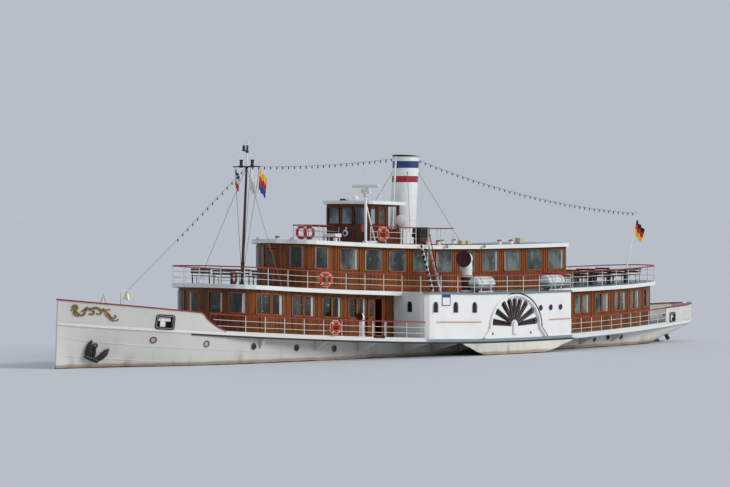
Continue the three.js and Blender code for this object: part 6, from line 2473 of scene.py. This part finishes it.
    def stairs(self) -> None:
        """The steep stairs to the boat deck, with a striped stringer and one handrail."""
        form = Form(HOUSE_WHITE)
        rise = BOAT_DECK - PROMENADE - 0.02
        slope = lambda a, share, lift=0.0: at(a, 3.52 - 0.86 * share, PROMENADE + 0.01 + rise * share + lift)
        for a in (0.9, 1.5):
            form.bar(slope(a, 0.0), slope(a, 1.0), 0.12, 0.05, (1, 0, 0), 0.006)
        form.use(BENCH_WOOD)
        for step in range(1, 9):
            here = slope(0.9, step / 9)
            form.bar(here, Vector((1.5, here.y, here.z)), 0.14, 0.03, UP)
        form.use(BLACK)
        for k in range(9):
            form.bar(slope(1.529, (k + 0.45) / 9), slope(1.529, (k + 0.95) / 9), 0.15, 0.02, (1, 0, 0))
        form.use(RAIL_RED).tube([slope(0.88, 0.24, 0.45), slope(0.88, 1.0, 0.7)], 0.03, 8, up=(1, 0, 0))
        form.use(RAIL_WHITE).rod(slope(0.88, 0.05), slope(0.88, 0.24, 0.45), 0.02)
        form.rod(slope(0.88, 0.98), slope(0.88, 1.0, 0.7), 0.02)
        form.both_sides().piece("stairs", stands_for=("stair_port", "stair_starboard"))


@dataclass(frozen=True)
class Doors:
    """Panels, glass and handles on the hinged doors, placed from the frame's own leaves."""

    def leaf(self, node: str, paint: Paint, axis: int, side: int, sunk: float = 0.0) -> None:
        """Dress one leaf.

        Args:
            node: The door's node and body.
            paint: Its varnish.
            axis: 0 if it faces along X, 1 along Y.
            side: The side that is dressed, 1 or -1.
            sunk: How far the leaf's face lies behind its knuckles.
        """
        low, high = (p / MODEL_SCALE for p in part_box(node))
        along = 1 - axis
        face = (high if side > 0 else low)[axis] - side * sunk
        start, end = low[along] + 0.09, high[along] - 0.12
        out = Vector((side, 0, 0)) if axis == 0 else Vector((0, side, 0))

        def place(u: float, z: float, off: float) -> Vector:
            """A point on the leaf's face.

            Args:
                u: Place along the leaf.
                z: Height over the waterline.
                off: Distance off its face.

            Returns:
                The point.
            """
            p = Vector((0, 0, z))
            p[along] = u
            p[axis] = face + side * off
            return p

        form = Form(paint)
        waist = low.z + 0.92
        for bottom, top, glass in ((low.z + 0.14, waist - 0.06, False), (waist + 0.06, high.z - 0.12, True)):
            ends = ((start, bottom), (end, bottom), (end, top), (start, top))
            corners = [place(u, z, 0) for u, z in ends]
            if glass:
                form.use(PANE).plate([c + out * 0.004 for c in corners], out * 0.006)
            form.use(paint)
            for p, q in zip(corners, [*corners[1:], corners[0]]):
                reach = (q - p).normalized() * 0.02
                form.bar(p - reach, q + reach, 0.05, 0.022, out, 0.005)
        knob = place(start + 0.02 if node.startswith("wheelhouse") else end - 0.02, low.z + 1.0, 0)
        form.use(GOLD).rod(knob, knob + out * 0.03, 0.014).ball(knob + out * 0.035, 0.026, 1, 12)
        form.piece(f"{node}_dress", node)

    def build(self) -> None:
        """Dress every leaf."""
        for word, side in (("port", 1), ("starboard", -1)):
            self.leaf(f"side_door_{word}", FRAME_WOOD, 1, side)
            self.leaf(f"wheelhouse_door_{word}", BRIDGE_FRAME, 1, side, 0.0195)
        self.leaf("saloon_door", FRAME_WOOD, 0, 1)


class Bunting(Enum):
    """The cloths of the ship, by the order of their bands."""

    ENSIGN = (CLOTH_BLACK, CLOTH_RED, CLOTH_GOLD)
    RED = (CLOTH_BLUE, CLOTH_WHITE, CLOTH_RED)
    WHITE = (CLOTH_WHITE,)
    STATE = (CLOTH_GOLD, CLOTH_RED, CLOTH_BLUE)


@dataclass(frozen=True)
class Flag:
    """A flag in folds that hangs from a line."""

    name: str
    cloth: Bunting
    top: Vector
    bottom: Vector
    reach: float
    wave: float
    folds: float
    droop: float
    rests: str
    stands_for: tuple[str, ...] = ()

    def fold(self, t: float) -> Vector:
        """The cloth's place off its hoist, at a share of its fly.

        Args:
            t: The share of its fly.

        Returns:
            The place.
        """
        width = self.wave * min(t * 5, 1.0)
        hoist = (self.top - self.bottom).length
        sideways = width * math.sin(2 * math.pi * self.folds * t)
        return Vector((-self.reach * t, sideways, -self.droop * t**0.8 * hoist))

    def build(self) -> None:
        bands = self.cloth.value
        steps = 72
        line = [self.fold(i / steps) for i in range(steps + 1)]
        form = Form(bands[0])
        for cloth in bands[1:]:
            form.use(cloth)
        part = bmesh.new()
        bmesh.ops.create_grid(part, x_segments=steps, y_segments=6 * len(bands), size=0.5)
        for face in part.faces:
            height = face.calc_center_median().y + 0.5
            face.material_index = min(int((1 - height) * len(bands)), len(bands) - 1)
        for vert in part.verts:
            t, v = vert.co.x + 0.5, vert.co.y + 0.5
            sway = Vector((0, 0.02 * math.sin(3.0 * v + 5.0 * t) * t, 0))
            vert.co = self.bottom.lerp(self.top, v) + line[round(t * steps)] + sway
        bmesh.ops.recalc_face_normals(part, faces=part.faces[:])
        bmesh.ops.solidify(part, geom=part.faces[:], thickness=0.012)
        form.take(part, keep=True)
        made = form.piece(self.name, stands_for=self.stands_for, crease=80)
        length = sum(math.hypot(q.x - p.x, q.y - p.y) for p, q in zip(line, line[1:]))
        flat = ((self.top - self.bottom).length * MODEL_SCALE, length * MODEL_SCALE)
        LOG.info("%s: %.3f by %.3f m of cloth", self.name, *flat)


def flags() -> list[Flag]:
    """The ensign and the three small flags under the yard.

    Returns:
        The flags, the ensign first.
    """
    staff = at(-19.6, 0, PROMENADE)
    on_staff = lambda z: staff + Vector((-1.3 * z / 4.15 - 0.05, 0, z))
    mast = MastDress()
    yard = lambda z, b: mast.up(z, b) + Vector((-0.05, 0, 0))
    ensign = Flag(
        "ensign_cloth", Bunting.ENSIGN, on_staff(3.75), on_staff(2.95), 0.74, 0.07, 2.6, 0.8, "flagstaff",
        ("ensign",),
    )
    small = (
        ("starboard", Bunting.RED, yard(6.25, -0.87), yard(5.4, -0.86), 0.27, 0.45),
        ("middle", Bunting.WHITE, yard(6.2, 0.3), yard(5.15, 0.29), 0.5, 0.4),
        ("port", Bunting.STATE, yard(6.25, 0.95), yard(5.2, 0.92), 0.52, 0.5),
    )
    return [
        ensign,
        *[
            Flag(f"yard_flag_{name}", cloth, top, bottom, reach, 0.05, 2.0, droop, "mast_rigging")
            for name, cloth, top, bottom, reach, droop in small
        ],
    ]


@dataclass(frozen=True)
class CadFinishes:
    """The paint of every frame node that is shown."""

    paints: tuple[tuple[Paint, tuple[str, ...]], ...] = (
        (HULL_WHITE, ("hull", "bow_bulwark", "stern_bulwark")),
        (GUARD_BLUE, ("main_deck",)),
        (RED_OXIDE, ("rudder", "paddle_wheel_port", "paddle_wheel_starboard")),
        (STEEL, ("paddle_shaft", "engine_block", "shaft_bearing_port", "shaft_bearing_starboard")),
        (HOUSE_WHITE, ("paddle_box_port", "paddle_box_starboard", "wheelhouse_roof", "flagstaff")),
        (HOUSE_WHITE, ("radar_post", "radar_scanner", "windlass")),
        (CREAM, ("splash_plate_port", "splash_plate_starboard")),
        (CABIN_WOOD, ("fore_deckhouse", "aft_deckhouse", "upper_saloon", "saloon_door")),
        (CABIN_WOOD, ("side_door_port", "side_door_starboard")),
        (BRIDGE_WOOD, ("wheelhouse", "wheelhouse_door_port", "wheelhouse_door_starboard")),
        (PANE, ("fore_deckhouse_glass", "aft_deckhouse_glass", "wheelhouse_glass")),
        (PANE, ("upper_saloon_glass_port", "upper_saloon_glass_starboard")),
        (DECK_EDGE, ("promenade_deck", "boat_deck")),
    )

    def apply(self, nodes: dict[str, bpy.types.Object]) -> None:
        """Give each node its paint, and every other node plain white.

        Args:
            nodes: The frame's nodes by name.
        """
        chosen = {name: paint for paint, names in self.paints for name in names}
        for name, node in nodes.items():
            paint = chosen.get(name, TRIM_WHITE)
            node.data.materials.clear()
            node.data.materials.append(paint.material())
            LOG.info("%s: %s", name, paint.name)


@dataclass(frozen=True)
class Stage:
    """The camera, a soft light and a pale floor at the waterline, in model metres."""

    location: Triple = (68.5, 63.03, 4.0)
    heading: Pair = (-0.728, -0.686)
    pitch: float = 0.57
    lens: float = 163.6
    floor_size: float = 4000.0
    sky: str = "#DFE7F2"
    sky_strength: float = 0.64
    floor: str = "#D2D4D8"
    sun_way: Triple = (0.35, -0.8, -0.48)
    sun_strength: float = 1.7
    sun_angle: float = 28.0

    def place(self, made: bpy.types.Object, location: Point, look: Vector) -> bpy.types.Object:
        """Put a camera or a lamp in the scene so that it looks along a direction.

        Args:
            made: The camera or lamp.
            location: Its place.
            look: The direction.

        Returns:
            The camera or lamp.
        """
        bpy.context.scene.collection.objects.link(made)
        made.location = location
        made.rotation_mode = "QUATERNION"
        made.rotation_quaternion = look.to_track_quat("-Z", "Y")
        return made

    def camera(self) -> None:
        """Place the camera."""
        data = bpy.data.cameras.new("photo_camera")
        data.sensor_width, data.lens = 36.0, self.lens
        data.clip_start, data.clip_end = 1.0, self.floor_size
        drop = math.tan(math.radians(self.pitch)) * math.hypot(*self.heading)
        made = bpy.data.objects.new("photo_camera", data)
        bpy.context.scene.camera = self.place(made, self.location, Vector((*self.heading, -drop)))

    def sun(self) -> None:
        """Hang a wide soft sun on the port quarter."""
        data = bpy.data.lights.new("soft_sun", "SUN")
        data.energy, data.angle = self.sun_strength, math.radians(self.sun_angle)
        self.place(bpy.data.objects.new("soft_sun", data), (0, 40, 40), Vector(self.sun_way))

    def ground(self) -> None:
        """Lay the floor."""
        part = bmesh.new()
        bmesh.ops.create_grid(part, x_segments=8, y_segments=8, size=self.floor_size / 2)
        data = bpy.data.meshes.new("floor")
        part.to_mesh(data)
        part.free()
        finish = Paint("pale_floor", self.floor, "", 0.8, dirt_share=0.02, cloud=0.05)
        data.materials.append(finish.material())
        made = bpy.data.objects.new("floor", data)
        bpy.context.scene.collection.objects.link(made)

    def world(self) -> None:
        """Fill the scene with even pale light."""
        world = bpy.data.worlds.new("pale_sky")
        world.use_nodes = True
        background = world.node_tree.nodes["Background"]
        background.inputs["Color"].default_value = rgb(self.sky)
        background.inputs["Strength"].default_value = self.sky_strength
        bpy.context.scene.world = world
        bpy.context.scene.view_settings.view_transform = "Standard"

    def build(self) -> None:
        """Set the whole stage."""
        self.world()
        self.camera()
        self.ground()
        self.sun()


def main() -> None:
    """Build every piece, dress the frame and set the stage."""
    CadFinishes().apply(frame["nodes"])
    HullShell().build()
    BowBulwark().build()
    HullTrim().build()
    for house in houses():
        house.build()
    groups = (
        PaddleBoxTrim, Railings, FunnelDress, MastDress, Lifebuoys, Rafts, Cowls, Anchors, BowGear,
        DeckFittings, Doors,
    )
    for group in groups:
        group().build()
    for flag in flags():
        flag.build()
    Stage().build()


if __name__ == "__main__":
    logging.basicConfig(level=logging.INFO, format="%(message)s")
    main()
